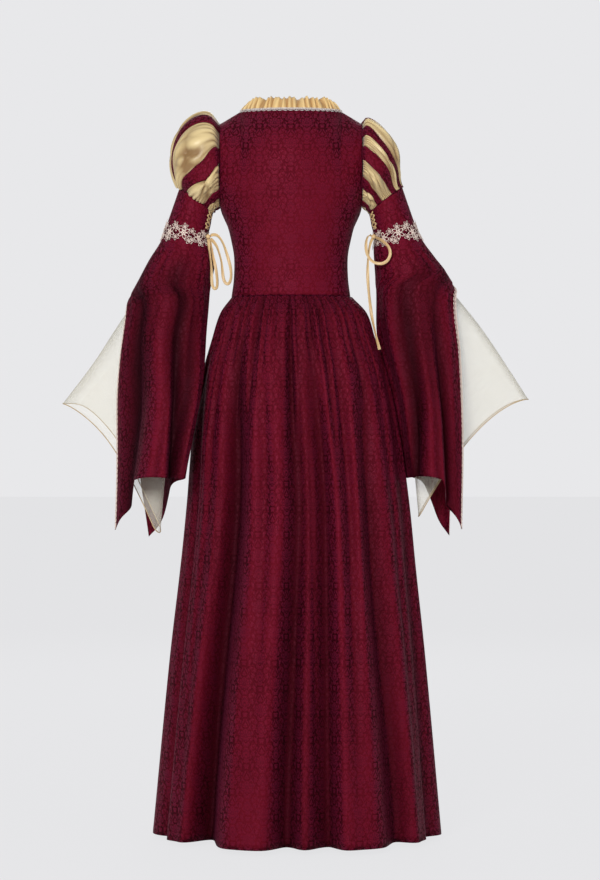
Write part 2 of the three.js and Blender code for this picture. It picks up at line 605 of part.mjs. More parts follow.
// Ribbons: a flat section drawn along a smooth path from the knot. Each path's points are measured
// from the knot's middle, at the wearer's left.
const RIBBON = { width: 7, thick: 0.8, step: 14 };
const KNOT = { angle: 152, up: 6, radius: 5, clear: 5.2 };
const knotAt = ringPoint(CUFF, KNOT.angle, -KNOT.up, CUFF.radius + CLOTH.lace + SEAM + KNOT.clear);
const RIBBONS = {
  left: {
    ribbon_left_long_loop: [
      [-4.8, 1, 2.2], [-10, 3, 3.5], [-17, 6, 2], [-24, 9, -5], [-30, 12, -16], [-35, 15, -30],
      [-40, 18, -46], [-44, 20, -63], [-45, 21, -78], [-43, 21, -88], [-39, 21, -93], [-34, 20, -91],
      [-30, 19, -82], [-28, 17, -66], [-26, 15, -50], [-22, 12, -34], [-17, 9, -20], [-11, 6, -11],
      [-4.4, 2, -4.2],
    ],
    ribbon_left_short_loop: [
      [-0.4, 4.4, -5.2], [-1, 7, -11], [-2, 9, -22], [-4, 11, -38], [-6, 12, -56], [-7, 13, -74],
      [-7.5, 13, -88], [-9, 13, -97], [-13, 13, -102], [-17, 13, -99], [-18, 13, -90], [-17, 12, -76],
      [-14, 11, -58], [-10, 9, -40], [-7, 7, -24], [-5, 5, -12], [-3, 4.6, -5.2],
    ],
  },
  right: {
    ribbon_right_loop: [
      [-4.6, 2, 2.2], [-9, 6, 2], [-13, 10, -4], [-15, 14, -13], [-15, 18, -24], [-13, 22, -35],
      [-8, 25, -45], [-1, 27, -51], [7, 28.5, -54], [16, 30, -54], [24, 32, -50], [29, 33.5, -43],
      [31, 34, -34], [29, 33, -25], [24, 31, -17], [17, 26, -11], [11, 18, -6], [4.6, 3.8, -2],
    ],
    ribbon_right_tail: [
      [-2, 3.4, -4.2], [-5, 7, -10], [-8, 11, -20], [-10, 14, -34], [-11.5, 16, -50], [-12, 18, -68],
      [-11.5, 20, -88], [-10, 22, -108], [-8, 24, -128], [-5.5, 27, -148], [-2.5, 31, -166],
      [1, 36, -183], [4.5, 41, -199], [8, 46, -213], [10, 49, -221],
    ],
  },
};

function ribbonTube(points) {
  const path = new THREE.CatmullRomCurve3(points);
  const [x, y] = [RIBBON.thick / 2, RIBBON.width / 2];
  const flat = 0.8 * y; // the section thins towards its two edges
  const half = [[x, -flat], [x, flat], [x / 2, y], [-x / 2, y]];
  const corners = [...half, ...half.map((corner) => corner.map((value) => -value))];
  return new THREE.ExtrudeGeometry(new THREE.Shape(corners.map((corner) => new THREE.Vector2(...corner))), {
    steps: Math.round(path.getLength() / RIBBON.step),
    extrudePath: path,
  });
}

// The lacing crosses the upper sleeve's inner seam from side to side, on its surface.
const LACING = { angle: 150, swing: 9, from: 0.1, to: 0.62, crossings: 4, width: 4.5, lift: 0.6 };
function lacingPoint(share, side) {
  const v = mix(LACING.from, LACING.to, share);
  const angle = LACING.angle + LACING.swing * Math.cos(Math.PI * LACING.crossings * share);
  const p = upperSleevePoint(angle, v);
  const middle = upperSleevePoint(0, v).lerp(upperSleevePoint(180, v), 0.5);
  const out = p.clone().sub(middle).normalize();
  return p.addScaledVector(out, LACING.lift + CLOTH.ribbon).add(vec(0, 0, (side - 0.5) * LACING.width));
}

for (const side of ["left", "right"]) {
  const flip = (point) => (side === "left" ? point : point.setX(-point.x));
  const name = (piece) => piece + "_" + side;

  const columns = puffColumns(PANES[side]);
  const puff = gridOf((column, v) => flip(puffPoint(column, v, side)), columns, PUFF_ROWS);
  const puffNormals = normalsOf(puff, true);
  levelled(puffNormals.at(0), vec(1, 0, 0));
  levelled(puffNormals.at(-1), flip(ringAxis(PUFF_END)));
  add(name("puff"), wall(puff, CLOTH.satin, { closed: true, normals: puffNormals }), "satin");
  PANES[side].forEach((_, i) => {
    const edges = [5 * i, 5 * i + 1];
    const strip = puff.map((row) => edges.map((c) => row[c]));
    const lift = puffNormals.map((row) => edges.map((c) => row[c]));
    add(name("pane") + "_" + (i + 1), lyingOn(strip, lift, CLOTH.brocade), "brocade");
  });

  const round = steps(20, 0, 360).slice(0, -1);
  const upper = gridOf((angle, v) => flip(upperSleevePoint(angle, v)), round, steps(2));
  add(name("upper_sleeve"), wall(upper, CLOTH.brocade, { closed: true }), "brocade");

  const petals = steps(LACE.flowers * LACE.columns).slice(0, -1);
  const lace = gridOf((turn, row) => flip(lacePoint(turn, row, side)), petals, [0, 1, 2, 3]);
  const isPetal = (row, column) => row !== 1 || column % LACE.columns !== 3;
  add(name("lace_band"), wall(lace, CLOTH.lace, { closed: true, keep: isPetal }), "lace");

  const bell = gridOf((u, v) => flip(bellPoint(u, v, side)), BELL_COLUMNS, BELL_ROWS);
  const bellNormals = normalsOf(bell, false);
  add(name("bell_sleeve"), wall(bell, CLOTH.brocade, { normals: bellNormals }), "brocade");
  const split = BELL_ROWS.findIndex((v) => v > BELL[side][3].v);
  for (const [edge, from] of [["back", 0], ["front", BELL_COLUMNS.length - 2]]) {
    const strip = (rows) => rows.slice(split).map((row) => row.slice(from, from + 2));
    add(name("split_braid_" + edge), lyingOn(strip(bell), strip(bellNormals), CLOTH.trim), "braid");
  }

  const turns = steps(20).slice(0, -1);
  const sheer = gridOf((turn, v) => flip(sheerPoint(turn, v, side)), turns, SHEER_ROWS);
  add(name("sheer_sleeve"), wall(sheer, CLOTH.sheer, { closed: true }), "organza");

  const crossed = steps(LACING.crossings * 3);
  const lacing = gridOf((edge, share) => flip(lacingPoint(share, edge)), [0, 1], crossed);
  add(name("lacing"), wall(lacing, CLOTH.ribbon), "satin");
  const knotMiddle = flip(knotAt.clone());
  const knot = new THREE.SphereGeometry(KNOT.radius, 8, 6).translate(...knotMiddle.toArray());
  add(name("bow_knot"), knot, "satin");
  for (const [ribbon, points] of Object.entries(RIBBONS[side])) {
    const path = points.map((point) => flip(vec(...point)).add(knotMiddle));
    add(ribbon, ribbonTube(path), "satin");
  }
}

export default dress;
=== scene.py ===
# %% [markdown]
# # A Renaissance dress, as it is worn
# The dress hangs from the wearer's shoulders: a fitted brocade bodice, a skirt gathered to its waist
# seam, gold puffs under brocade panes, long split bell sleeves over sheer ones, lace and ribbons.
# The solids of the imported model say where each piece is. Here every piece of cloth is made again as a
# thin sheet with its own folds, and gets a finish that is built from shader nodes.

import math

import bpy
import numpy as np
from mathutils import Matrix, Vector


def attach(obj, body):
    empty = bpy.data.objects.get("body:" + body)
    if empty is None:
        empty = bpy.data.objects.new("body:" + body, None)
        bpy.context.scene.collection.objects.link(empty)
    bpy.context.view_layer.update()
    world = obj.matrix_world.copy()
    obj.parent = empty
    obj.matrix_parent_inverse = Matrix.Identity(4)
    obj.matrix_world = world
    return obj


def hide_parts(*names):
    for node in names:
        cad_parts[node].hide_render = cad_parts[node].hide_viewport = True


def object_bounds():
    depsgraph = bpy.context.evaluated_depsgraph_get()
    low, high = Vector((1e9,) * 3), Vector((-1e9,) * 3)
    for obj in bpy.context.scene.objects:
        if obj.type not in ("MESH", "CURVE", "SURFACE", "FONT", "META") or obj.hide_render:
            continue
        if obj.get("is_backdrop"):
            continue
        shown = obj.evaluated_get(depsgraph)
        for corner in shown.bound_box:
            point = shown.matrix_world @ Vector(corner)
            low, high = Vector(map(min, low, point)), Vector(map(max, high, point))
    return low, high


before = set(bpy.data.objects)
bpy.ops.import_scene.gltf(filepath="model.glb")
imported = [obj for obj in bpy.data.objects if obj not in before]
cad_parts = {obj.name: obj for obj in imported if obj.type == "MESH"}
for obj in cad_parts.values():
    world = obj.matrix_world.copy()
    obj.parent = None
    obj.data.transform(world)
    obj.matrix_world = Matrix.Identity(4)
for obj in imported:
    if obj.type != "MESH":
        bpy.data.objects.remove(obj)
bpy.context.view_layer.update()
scene = bpy.context.scene

# %% [markdown]
# ## Camera
# The camera stands far away with a long lens, level and at half the dress's height, so the uprights
# stay upright. It looks at the back from +Y.

# %% Make the camera
LENS, FRAME_HEIGHT = 104.9, 36  # millimetres
EYE = (-0.0176, 5.0, -0.628)


def add_object(name, data):
    made = bpy.data.objects.new(name, data)
    scene.collection.objects.link(made)
    return made


lens = bpy.data.cameras.new("camera")
lens.sensor_fit = "VERTICAL"
lens.sensor_height = FRAME_HEIGHT
lens.lens = LENS
lens.clip_end = 60
camera = add_object("camera", lens)
camera.location = EYE
camera.rotation_euler = (math.radians(90), 0, math.radians(180))
scene.camera = camera

# %% [markdown]
# ## Sheets of cloth
# A piece of cloth is a grid of points: a function gives the point at each share across and down it.
# The grid keeps the flat cloth's own coordinates in metres as its UV map, so a weave follows the
# folds. Solidify then gives the sheet its thickness, inwards.

# %% Tables and curves
MM = 0.001


def read(rows, at):
    """Every column of a table at a key, on a smooth curve through its rows. The first is the key."""
    rows = np.array(rows, float)
    keys, values = rows[:, 0], rows[:, 1:]
    last = len(keys) - 1
    before, after = np.maximum(np.arange(last + 1) - 1, 0), np.minimum(np.arange(last + 1) + 1, last)
    slopes = (values[after] - values[before]) / (keys[after] - keys[before])[:, None]
    at = np.clip(np.asarray(at, float), keys[0], keys[-1])
    i = np.clip(np.searchsorted(keys, at, side="left") - 1, 0, last - 1)
    span = keys[i + 1] - keys[i]
    t = ((at - keys[i]) / span)[..., None]
    span = span[..., None]
    out = (values[i] * (1 + 2 * t) * (1 - t) ** 2 + values[i + 1] * t * t * (3 - 2 * t)
           + slopes[i] * span * t * (1 - t) ** 2 - slopes[i + 1] * span * t * t * (1 - t))
    return np.moveaxis(out, -1, 0)


def ease(x, low, high):
    t = np.clip((np.asarray(x, float) - low) / (high - low), 0, 1)
    return t * t * (3 - 2 * t)


def mix(a, b, t):
    return a + (b - a) * t


def sin(degrees):
    return np.sin(np.radians(degrees))


def cos(degrees):
    return np.cos(np.radians(degrees))


def bump(x, middle, width):
    """1 at the middle and 0 away from it, as a crease seen from its end."""
    return np.exp(-(((x - middle) / width) ** 2))


def wobble(x, y, seed):
    """A slow uneven wave of two values, from -1 to 1, the same each time."""
    return (np.sin(1.7 * x + 2.3 * np.sin(0.9 * y + seed)) + np.sin(2.9 * x - 1.3 * y + 1.9 * seed)
            + np.sin(0.8 * x + 2.1 * y + 0.7 * seed)) / 3


# %% Ways along lines and grids
def unit(vectors):
    """The same directions with length 1."""
    return vectors / (np.linalg.norm(vectors, axis=-1, keepdims=True) + 1e-12)


def far_along(line):
    """The way from a line's start to each of its points."""
    return np.concatenate([[0], np.cumsum(np.linalg.norm(np.diff(line, axis=0), axis=1))])


def far_down(grid):
    """The mean way from a grid's top row to each of its rows."""
    return np.concatenate([[0], np.cumsum(np.linalg.norm(np.diff(grid, axis=0), axis=2).mean(axis=1))])


def walk(at, far, line):
    """The points at these ways along a line."""
    return np.stack([np.interp(at, far, line[:, k]) for k in range(3)], axis=-1)


def grid_of(point, across, down):
    return point(*np.meshgrid(across, down))


def normals_of(grid, closed):
    """Unit normals of a grid that face away from its middle."""
    if closed:
        ring = np.concatenate([grid[:, -1:], grid, grid[:, :1]], axis=1)
        across = ring[:, 2:] - ring[:, :-2]
    else:
        across = np.gradient(grid, axis=1)
    normals = unit(np.cross(across, np.gradient(grid, axis=0)))
    return -normals if (normals * (grid - grid.mean(axis=(0, 1)))).sum() < 0 else normals


# %% From grids to pieces
def new_mesh(name, points, faces, uv):
    """A mesh of points in millimetres, with a flat coordinate for each corner of each face."""
    mesh = bpy.data.meshes.new(name)
    mesh.from_pydata((np.reshape(points, (-1, 3)) * MM).tolist(), [], [list(map(int, f)) for f in faces])
    mesh.uv_layers.new(name="cloth").data.foreach_set("uv", np.asarray(uv, float).reshape(-1))
    return mesh


def sheet_mesh(name, grid, uv, closed):
    """A grid's mesh with its faces out. uv is in metres and has one column more than a closed grid."""
    rows, cols = grid.shape[:2]
    c = np.arange(cols if closed else cols - 1)
    right = (c + 1) % cols
    index = np.arange(rows * cols).reshape(rows, cols)
    above, below = index[:-1], index[1:]
    quads = np.stack([above[:, c], above[:, right], below[:, right], below[:, c]], axis=-1)
    corners = np.stack([uv[:-1][:, c], uv[:-1][:, c + 1], uv[1:][:, c + 1], uv[1:][:, c]], axis=2)
    probe = np.cross(grid[:-1, 1:] - grid[:-1, :-1], grid[1:, :-1] - grid[:-1, :-1])
    if (probe * normals_of(grid, closed)[:-1, :-1]).sum() < 0:
        quads, corners = quads[..., ::-1], corners[:, :, ::-1]
    mesh = new_mesh(name, grid, quads.reshape(-1, 4), corners)
    mesh.shade_smooth()
    mesh.validate()
    return mesh


def settle(piece, slot, *nodes):
    """Fixes a piece to the dress, and hides the solids that it stands for. slot is not used."""
    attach(piece, "root")
    if nodes:
        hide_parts(*nodes)
    return piece


def cloth(name, grid, uv, finish, slot, thick=0.6, closed=False, shade=None):
    """One piece of cloth in place of its solid. shade is the painted shade of each point, darkest deep
    in a fold, from 0 to about 1."""
    mesh = sheet_mesh(name + "_cloth", grid, uv, closed)
    if shade is not None:
        # The painted shade is kept as the mesh's fold attribute, which the finishes read to darken the
        # colour.
        mesh.attributes.new("fold", "FLOAT", "POINT").data.foreach_set("value", shade.reshape(-1))
    mesh.materials.append(finish)
    piece = add_object(name + "_cloth", mesh)
    wall = piece.modifiers.new("thickness", "SOLIDIFY")
    wall.thickness = thick * MM
    wall.offset = -1
    wall.use_quality_normals = True
    print(piece.name, len(mesh.polygons), "faces")
    return settle(piece, slot, name)


def flat_uv(grid, width=None, closed=False):
    """Flat coordinates of a grid: across by share of its width, and down by its mean length so far."""
    ring = np.concatenate([grid, grid[:, :1]], axis=1) if closed else grid
    if width is None:
        width = np.linalg.norm(np.diff(ring, axis=1), axis=2).sum(axis=1).max() * MM
    return np.stack(np.meshgrid(np.linspace(0, 1, ring.shape[1]) * width, -far_down(grid) * MM), axis=-1)


def arc_uv(grid):
    """Flat coordinates of a flared piece: the way across is measured along each row from its middle."""
    step = np.linalg.norm(np.diff(grid, axis=1), axis=2)
    u = np.concatenate([np.zeros((len(grid), 1)), np.cumsum(step, axis=1)], axis=1)
    u -= u[:, u.shape[1] // 2][:, None]
    return np.stack(np.broadcast_arrays(u, -far_down(grid)[:, None]), axis=-1) * MM


# %% [markdown]
# ## Finishes
# Five cloths make this dress. The brocade is a burgundy damask: its ground is matt and red, its
# leaves and fans are floats of magenta thread, each with a dark line where the weave changes. The
# pattern is symmetric and steps half a repeat from column to column, as such cloth is woven.

# %% Nodes from Python, and a value in a shader tree that adds and multiplies like a number
def join(tree, value, socket):
    """Gives a socket a plain value, or links a Wire or another socket to it."""
    value = value.socket if isinstance(value, Wire) else value
    if isinstance(value, bpy.types.NodeSocket):
        tree.links.new(value, socket)
    else:
        socket.default_value = value


def add_node(tree, kind, **inputs):
    """A shader node and what its named inputs get. An underscore stands for a space in a name."""
    node = tree.nodes.new("ShaderNode" + kind)
    for key, value in inputs.items():
        join(tree, value, node.inputs[key.replace("_", " ")])
    return node


class Wire:
    def __init__(self, tree, socket):
        self.tree, self.socket = tree, socket

    def do(self, operation, *others):
        node = add_node(self.tree, "Math")
        node.operation = operation
        for socket, value in zip(node.inputs, (self, *others)):
            join(self.tree, value, socket)
        return Wire(self.tree, node.outputs[0])

    def __add__(self, other):
        return self.do("ADD", other)

    def __sub__(self, other):
        return self.do("SUBTRACT", other)

    def __mul__(self, other):
        return self.do("MULTIPLY", other)

    def __truediv__(self, other):
        return self.do("DIVIDE", other)

    def __or__(self, other):
        """The greater of two masks."""
        return self.do("MAXIMUM", other)

    def wave(self):
        return self.do("SINE")

    def turn(self):
        return self.do("COSINE")

    def size(self):
        return self.do("ABSOLUTE")

    def step(self, low, high):
        """0 at low and 1 at high, smooth between."""
        node = add_node(self.tree, "MapRange", Value=self, From_Min=low, From_Max=high)
        node.interpolation_type = "SMOOTHSTEP"
        return Wire(self.tree, node.outputs["Result"])


def new_group(name, inputs, outputs):
    """A node group with its coordinate input and named float inputs and outputs."""
    tree = bpy.data.node_groups.new(name, "ShaderNodeTree")
    tree.interface.new_socket("Vector", in_out="INPUT", socket_type="NodeSocketVector")
    for key, value in inputs.items():
        given = tree.interface.new_socket(key, in_out="INPUT", socket_type="NodeSocketFloat")
        given.default_value = value
    for key in outputs:
        tree.interface.new_socket(key, in_out="OUTPUT", socket_type="NodeSocketFloat")
    start, end = tree.nodes.new("NodeGroupInput"), tree.nodes.new("NodeGroupOutput")
    return tree, {out.name: Wire(tree, out) for out in start.outputs if out.name}, end


def parts_of(tree, value):
    return [Wire(tree, out) for out in add_node(tree, "SeparateXYZ", Vector=value).outputs]


def joined(tree, x, y):
    return add_node(tree, "CombineXYZ", X=x, Y=y, Z=0.0).outputs[0]


# %% The damask group: ogee columns filled with small leaves, with a palmette and a flower in each
def polar(x, y, middle):
    """Distance and angle round a point on the column's own line, straight up being 0."""
    up = y - middle
    return (x * x + up * up).do("SQRT"), x.do("ARCTAN2", up)


PALMETTE_AT, FLOWER_AT = 0.016, -0.0185  # metres up from the middle of a repeat
BENT_BY, BEND_SCALE = 0.006, 260  # how far and how finely the leaves are bent
tree, given, end = new_group(
    "damask", {"Column": 0.031, "Repeat": 0.096, "Leaf": 0.0084}, ["Leaf", "Line", "Fan"])
u, v, _ = parts_of(tree, given["Vector"])
column, repeat = given["Column"], given["Repeat"]
x, y = u / column, v / repeat
pair = (x * 0.5).do("ROUND")
side = (x - pair * 2).size()
ogee = (y * math.tau).turn() * 0.3 + 0.5
odd = side.do("GREATER_THAN", ogee)
out = (side + odd * ((side * -2) + 1)) * column
lap = y + odd * 0.5
up = (lap - lap.do("ROUND")) * repeat
place = joined(tree, out * BEND_SCALE, up * BEND_SCALE)
bend = add_node(tree, "TexNoise", Scale=1, Detail=2, Vector=place)
bend.noise_dimensions = "2D"
bend_out, bend_up, gaps = parts_of(tree, bend.outputs["Color"])


def leaf_edge(size, stretch):
    """Distance to the nearest edge of bent cells of this size."""
    across = (out + (bend_out - 0.5) * BENT_BY) / size + 0.3
    along = (up + (bend_up - 0.5) * BENT_BY) / (size * stretch) + 0.4
    cells = add_node(tree, "TexVoronoi", Scale=1, Randomness=0.95, Vector=joined(tree, across, along))
    cells.feature = "DISTANCE_TO_EDGE"
    cells.voronoi_dimensions = "2D"
    return Wire(tree, cells.outputs["Distance"]) * size


edge = leaf_edge(given["Leaf"], 1.3)
veins = leaf_edge(given["Leaf"] * 0.45, 1.6).step(0.0007, 0.0002) * 0.5
radius, angle = polar(out, up, PALMETTE_AT)
palmette = (angle * 3.5).turn().size() * 0.0022 + 0.0118 - angle * 0.0012
fan = (palmette - radius).step(-0.0002, 0.0004)
rays = (angle * 5.5).wave().size().step(0.42, 0.2)
rays = rays * radius.step(0.0035, 0.005) * radius.step(0.0106, 0.0094)
marks = (palmette - radius).size().step(0.0011, 0.0005) | rays
marks = marks | (radius - 0.003).size().step(0.0009, 0.0004)
radius, angle = polar(out, up, FLOWER_AT)
petals = (angle * 3).turn().size() * 0.0026 + 0.0058
fan = fan | (petals - radius).step(-0.0002, 0.0004)
marks = marks | (petals - radius).size().step(0.001, 0.0004) | radius.step(0.0022, 0.0014)
stem = (side - ogee).size().step(0.045, 0.02)
outline = edge.step(0.0014, 0.0005) * (gaps.step(0.36, 0.5) * 0.6 + 0.4)
join(tree, ((outline | stem * 0.8) * (fan * -1 + 1)) | veins | marks * 0.85, end.inputs["Line"])
join(tree, edge.step(0.0006, 0.0022) | fan * 0.7, end.inputs["Leaf"])
join(tree, fan, end.inputs["Fan"])
damask = tree

# %% The weave group: threads and slubs that lift the surface a little
tree, given, end = new_group("weave", {"Thread": 0.0012, "Slub": 0.5}, ["Height", "Shade"])
u, v, _ = parts_of(tree, given["Vector"])
rib = ((v / given["Thread"]) * math.tau).wave() * 0.5 + 0.5
cross = ((u / given["Thread"]) * math.tau).wave() * 0.5 + 0.5
slubs = add_node(tree, "TexNoise", Scale=1, Detail=3, Vector=joined(tree, u * 40, v * 700))
slub = Wire(tree, slubs.outputs["Fac"])
join(tree, rib * 0.5 + cross * 0.3 + slub * given["Slub"], end.inputs["Height"])
join(tree, slub.step(0.35, 0.7), end.inputs["Shade"])
weave = tree

# %% A material with its own UV coordinates and a Principled shader
def new_finish(name, roughness, **sockets):
    finish = bpy.data.materials.new(name)
    finish.use_nodes = True
    tree = finish.node_tree
    shader = tree.nodes["Principled BSDF"]
    for key, value in {"Roughness": roughness, **sockets}.items():
        shader.inputs[key.replace("_", " ")].default_value = value
    uv = add_node(tree, "UVMap")
    uv.uv_map = "cloth"
    return finish, tree, shader, uv.outputs[0]


def place_group(tree, group, uv, **values):
    node = add_node(tree, "Group")
    node.node_tree = group
    for key, value in {"Vector": uv, **values}.items():
        join(tree, value, node.inputs[key])
    return {out.name: Wire(tree, out) for out in node.outputs}


def blended(tree, share, first, second):
    """A colour between two. Each is a colour of three numbers or a socket."""
    node = add_node(tree, "Mix", Factor=share)
    node.data_type = "RGBA"
    for value, key in ((first, "A"), (second, "B")):
        socket = [s for s in node.inputs if s.name == key and s.type == "RGBA"][0]
        join(tree, (*value, 1) if isinstance(value, tuple) else value, socket)
    return [s for s in node.outputs if s.type == "RGBA"][0]


def noise(tree, uv, scale, detail=3, stretch=(1, 1, 1)):
    place = add_node(tree, "Mapping", Scale=stretch, Vector=uv).outputs[0]
    return Wire(tree, add_node(tree, "TexNoise", Scale=scale, Detail=detail, Vector=place).outputs["Fac"])


def painted_fold_shade(tree):
    """The painted shade in the cloth's folds, which the sheet keeps at each of its points."""
    fold = add_node(tree, "Attribute")
    fold.attribute_name = "fold"
    return Wire(tree, fold.outputs["Fac"])


def turned_away(tree, blend):
    return Wire(tree, add_node(tree, "LayerWeight", Blend=blend).outputs["Facing"])


def lift(tree, shader, height, strength, distance):
    node = add_node(tree, "Bump", Strength=strength, Distance=distance, Height=height)
    join(tree, node.outputs[0], shader.inputs["Normal"])


# %% Brocade
GROUND = (0.150, 0.0042, 0.0138)
FLOAT = (0.148, 0.0058, 0.0205)
GLEAM = (0.168, 0.0115, 0.0400)
GROOVE = (0.022, 0.0004, 0.0028)


def brocade_finish(name):
    """Seen straight on the cloth is plain red. The more it turns away, the more its figures show, and its
    floats take a painted magenta sheen.
    """
    finish, tree, shader, uv = new_finish(
        name, 0.5, Sheen_Weight=0.06, Sheen_Roughness=0.4, Sheen_Tint=(0.9, 0.12, 0.3, 1),
        Specular_IOR_Level=0.12, Specular_Tint=(1.0, 0.35, 0.5, 1))
    pattern = place_group(tree, damask, uv)
    threads = place_group(tree, weave, uv, Thread=0.0011)
    worn, patch = noise(tree, uv, 9, 4), noise(tree, uv, 5, 2).step(0.36, 0.6)
    # Painted sheen: turned away, the floats go towards GLEAM and the figures' lines darken more.
    away = turned_away(tree, 0.5).step(0.04, 0.4)
    float_colour = blended(tree, away, FLOAT, GLEAM)
    colour = blended(tree, pattern["Leaf"] * (worn * 0.4 + 0.7), GROUND, float_colour)
    seen = (away * 0.72 + patch * 0.28 + 0.24).do("MINIMUM", 1)
    colour = blended(tree, pattern["Line"] * seen, colour, GROOVE)
    # Painted shade: the fold attribute darkens the colour deep in folds; the threads' slubs and the worn
    # noise vary its tone.
    light = (threads["Shade"] * 0.14 + worn * 0.24 + 0.82) * (painted_fold_shade(tree) * -0.85 + 1)
    shade = add_node(tree, "HueSaturation", Value=light, Color=colour)
    join(tree, shade.outputs[0], shader.inputs["Base Color"])
    join(tree, pattern["Leaf"] * -0.14 + pattern["Line"] * 0.12 + 0.55, shader.inputs["Roughness"])
    join(tree, pattern["Leaf"] * 0.08, shader.inputs["Metallic"])
    lift(tree, shader, pattern["Leaf"] - pattern["Line"] * 1.2 + threads["Height"] * 0.35, 0.5, 0.0004)
    return finish


brocade = brocade_finish("burgundy_brocade")


# %% Satin, in the gold of the puffs, the ruffle and the ribbons
def satin_finish(name, light, dark, hollow, roughness):
    """Satin is clouded from light to dark. Deep in its folds it is painted with shade in the hollow
    colour.
    """
    finish, tree, shader, uv = new_finish(name, roughness, Sheen_Weight=0.2, Sheen_Roughness=0.4)
    threads = place_group(tree, weave, uv, Thread=0.0007, Slub=0.3)
    cloudy = noise(tree, uv, 14, 4, (1, 0.4, 1))
    streaks = noise(tree, uv, 60, 2, (3, 0.3, 1))
    colour = blended(tree, cloudy.step(0.35, 0.7) * 0.6 + streaks * 0.3, light, dark)
    # Painted shade: the fold attribute blends the colour towards hollow.
    join(tree, blended(tree, painted_fold_shade(tree), colour, hollow), shader.inputs["Base Color"])
    join(tree, streaks * 0.2 + (roughness - 0.1), shader.inputs["Roughness"])
    lift(tree, shader, threads["Height"] * 0.15 + cloudy * 4 + streaks * 1.2, 0.45, 0.0008)
    return finish


# light, dark, the hollow colour of the painted shade in folds, and roughness
SATINS = {
    "gold_satin": ((0.90, 0.73, 0.39), (0.76, 0.57, 0.27), (0.2, 0.085, 0.02), 0.38),
    "ruffle_satin": ((0.95, 0.70, 0.33), (0.86, 0.58, 0.24), (0.42, 0.2, 0.06), 0.45),
    "ribbon_satin": ((0.76, 0.53, 0.26), (0.52, 0.32, 0.14), (0.3, 0.16, 0.06), 0.36),
}
gold_satin, ruffle_satin, ribbon_satin = [satin_finish(name, *row) for name, row in SATINS.items()]


# %% Organza, which shows what is behind it
def organza_finish(name):
    finish, tree, shader, uv = new_finish(name, 0.45, Sheen_Weight=0.5, Sheen_Roughness=0.3)
    threads = place_group(tree, weave, uv, Thread=0.0009, Slub=0.4)
    cloudy = noise(tree, uv, 12, 3)
    colour = blended(tree, cloudy, (0.97, 0.94, 0.82), (0.92, 0.88, 0.74))
    join(tree, colour, shader.inputs["Base Color"])
    solid = threads["Shade"] * 0.05 + cloudy * 0.06 + 0.11 + turned_away(tree, 0.35) * 0.4
    join(tree, solid.do("MINIMUM", 1), shader.inputs["Alpha"])
    lift(tree, shader, threads["Height"] * 0.2 + cloudy * 3, 0.4, 0.0006)
    return finish


organza = organza_finish("ivory_organza")


# %% Lace, braid and cord
def thread_finish(name, light, dark, metal=0.0):
    finish, tree, shader, uv = new_finish(name, 0.5, Sheen_Weight=0.15, Metallic=metal)
    threads = place_group(tree, weave, uv, Thread=0.0008, Slub=0.6)
    spots = noise(tree, uv, 400, 2)
    join(tree, blended(tree, spots.step(0.35, 0.65), light, dark), shader.inputs["Base Color"])
    lift(tree, shader, threads["Height"] * 0.6 + spots * 0.8, 0.6, 0.0003)
    return finish


rose_lace = thread_finish("rose_lace", (0.95, 0.80, 0.71), (0.74, 0.57, 0.49))
pale_braid = thread_finish("pale_braid", (0.92, 0.86, 0.83), (0.70, 0.62, 0.59), 0.1)
tan_cord = thread_finish("tan_cord", (0.62, 0.45, 0.24), (0.5, 0.34, 0.16))
print("finishes:", [m.name for m in bpy.data.materials])

# %% [markdown]
# ## Ribbons
# Each sleeve's lacing ends in a small bow of narrow gold ribbon. A ribbon is limp, and its loops hang
# from the knot. Their routes are those of the solids, measured from each knot.

# %% Ring of the arm and the knots' places
ARMHOLE = {"x": 138, "z": -93, "height": 81, "depth": 55}
PUFF_END = {"x": 184, "z": -160, "radius": 41, "tilt": 36}
CUFF = {"x": 205, "z": -230, "radius": 43, "tilt": 12}
SEAM = 0.3  # millimetres between two pieces that are sewn together


def ring_point(ring, angle, along=0.0, radius=None):
    """A point of a ring round the arm: 0 is its outer point, 90 its back and 180 its inner point."""
    radius = ring["radius"] if radius is None else radius
    out = radius * cos(angle)
    return np.stack(np.broadcast_arrays(
        ring["x"] + out * cos(ring["tilt"]) + along * sin(ring["tilt"]),
        radius * sin(angle),
        ring["z"] + out * sin(ring["tilt"]) - along * cos(ring["tilt"])), axis=-1)


def to_side(points, side):
    """The wearer's left, or its mirror image for the right."""
    return points if side == "left" else points * np.array([-1, 1, 1])


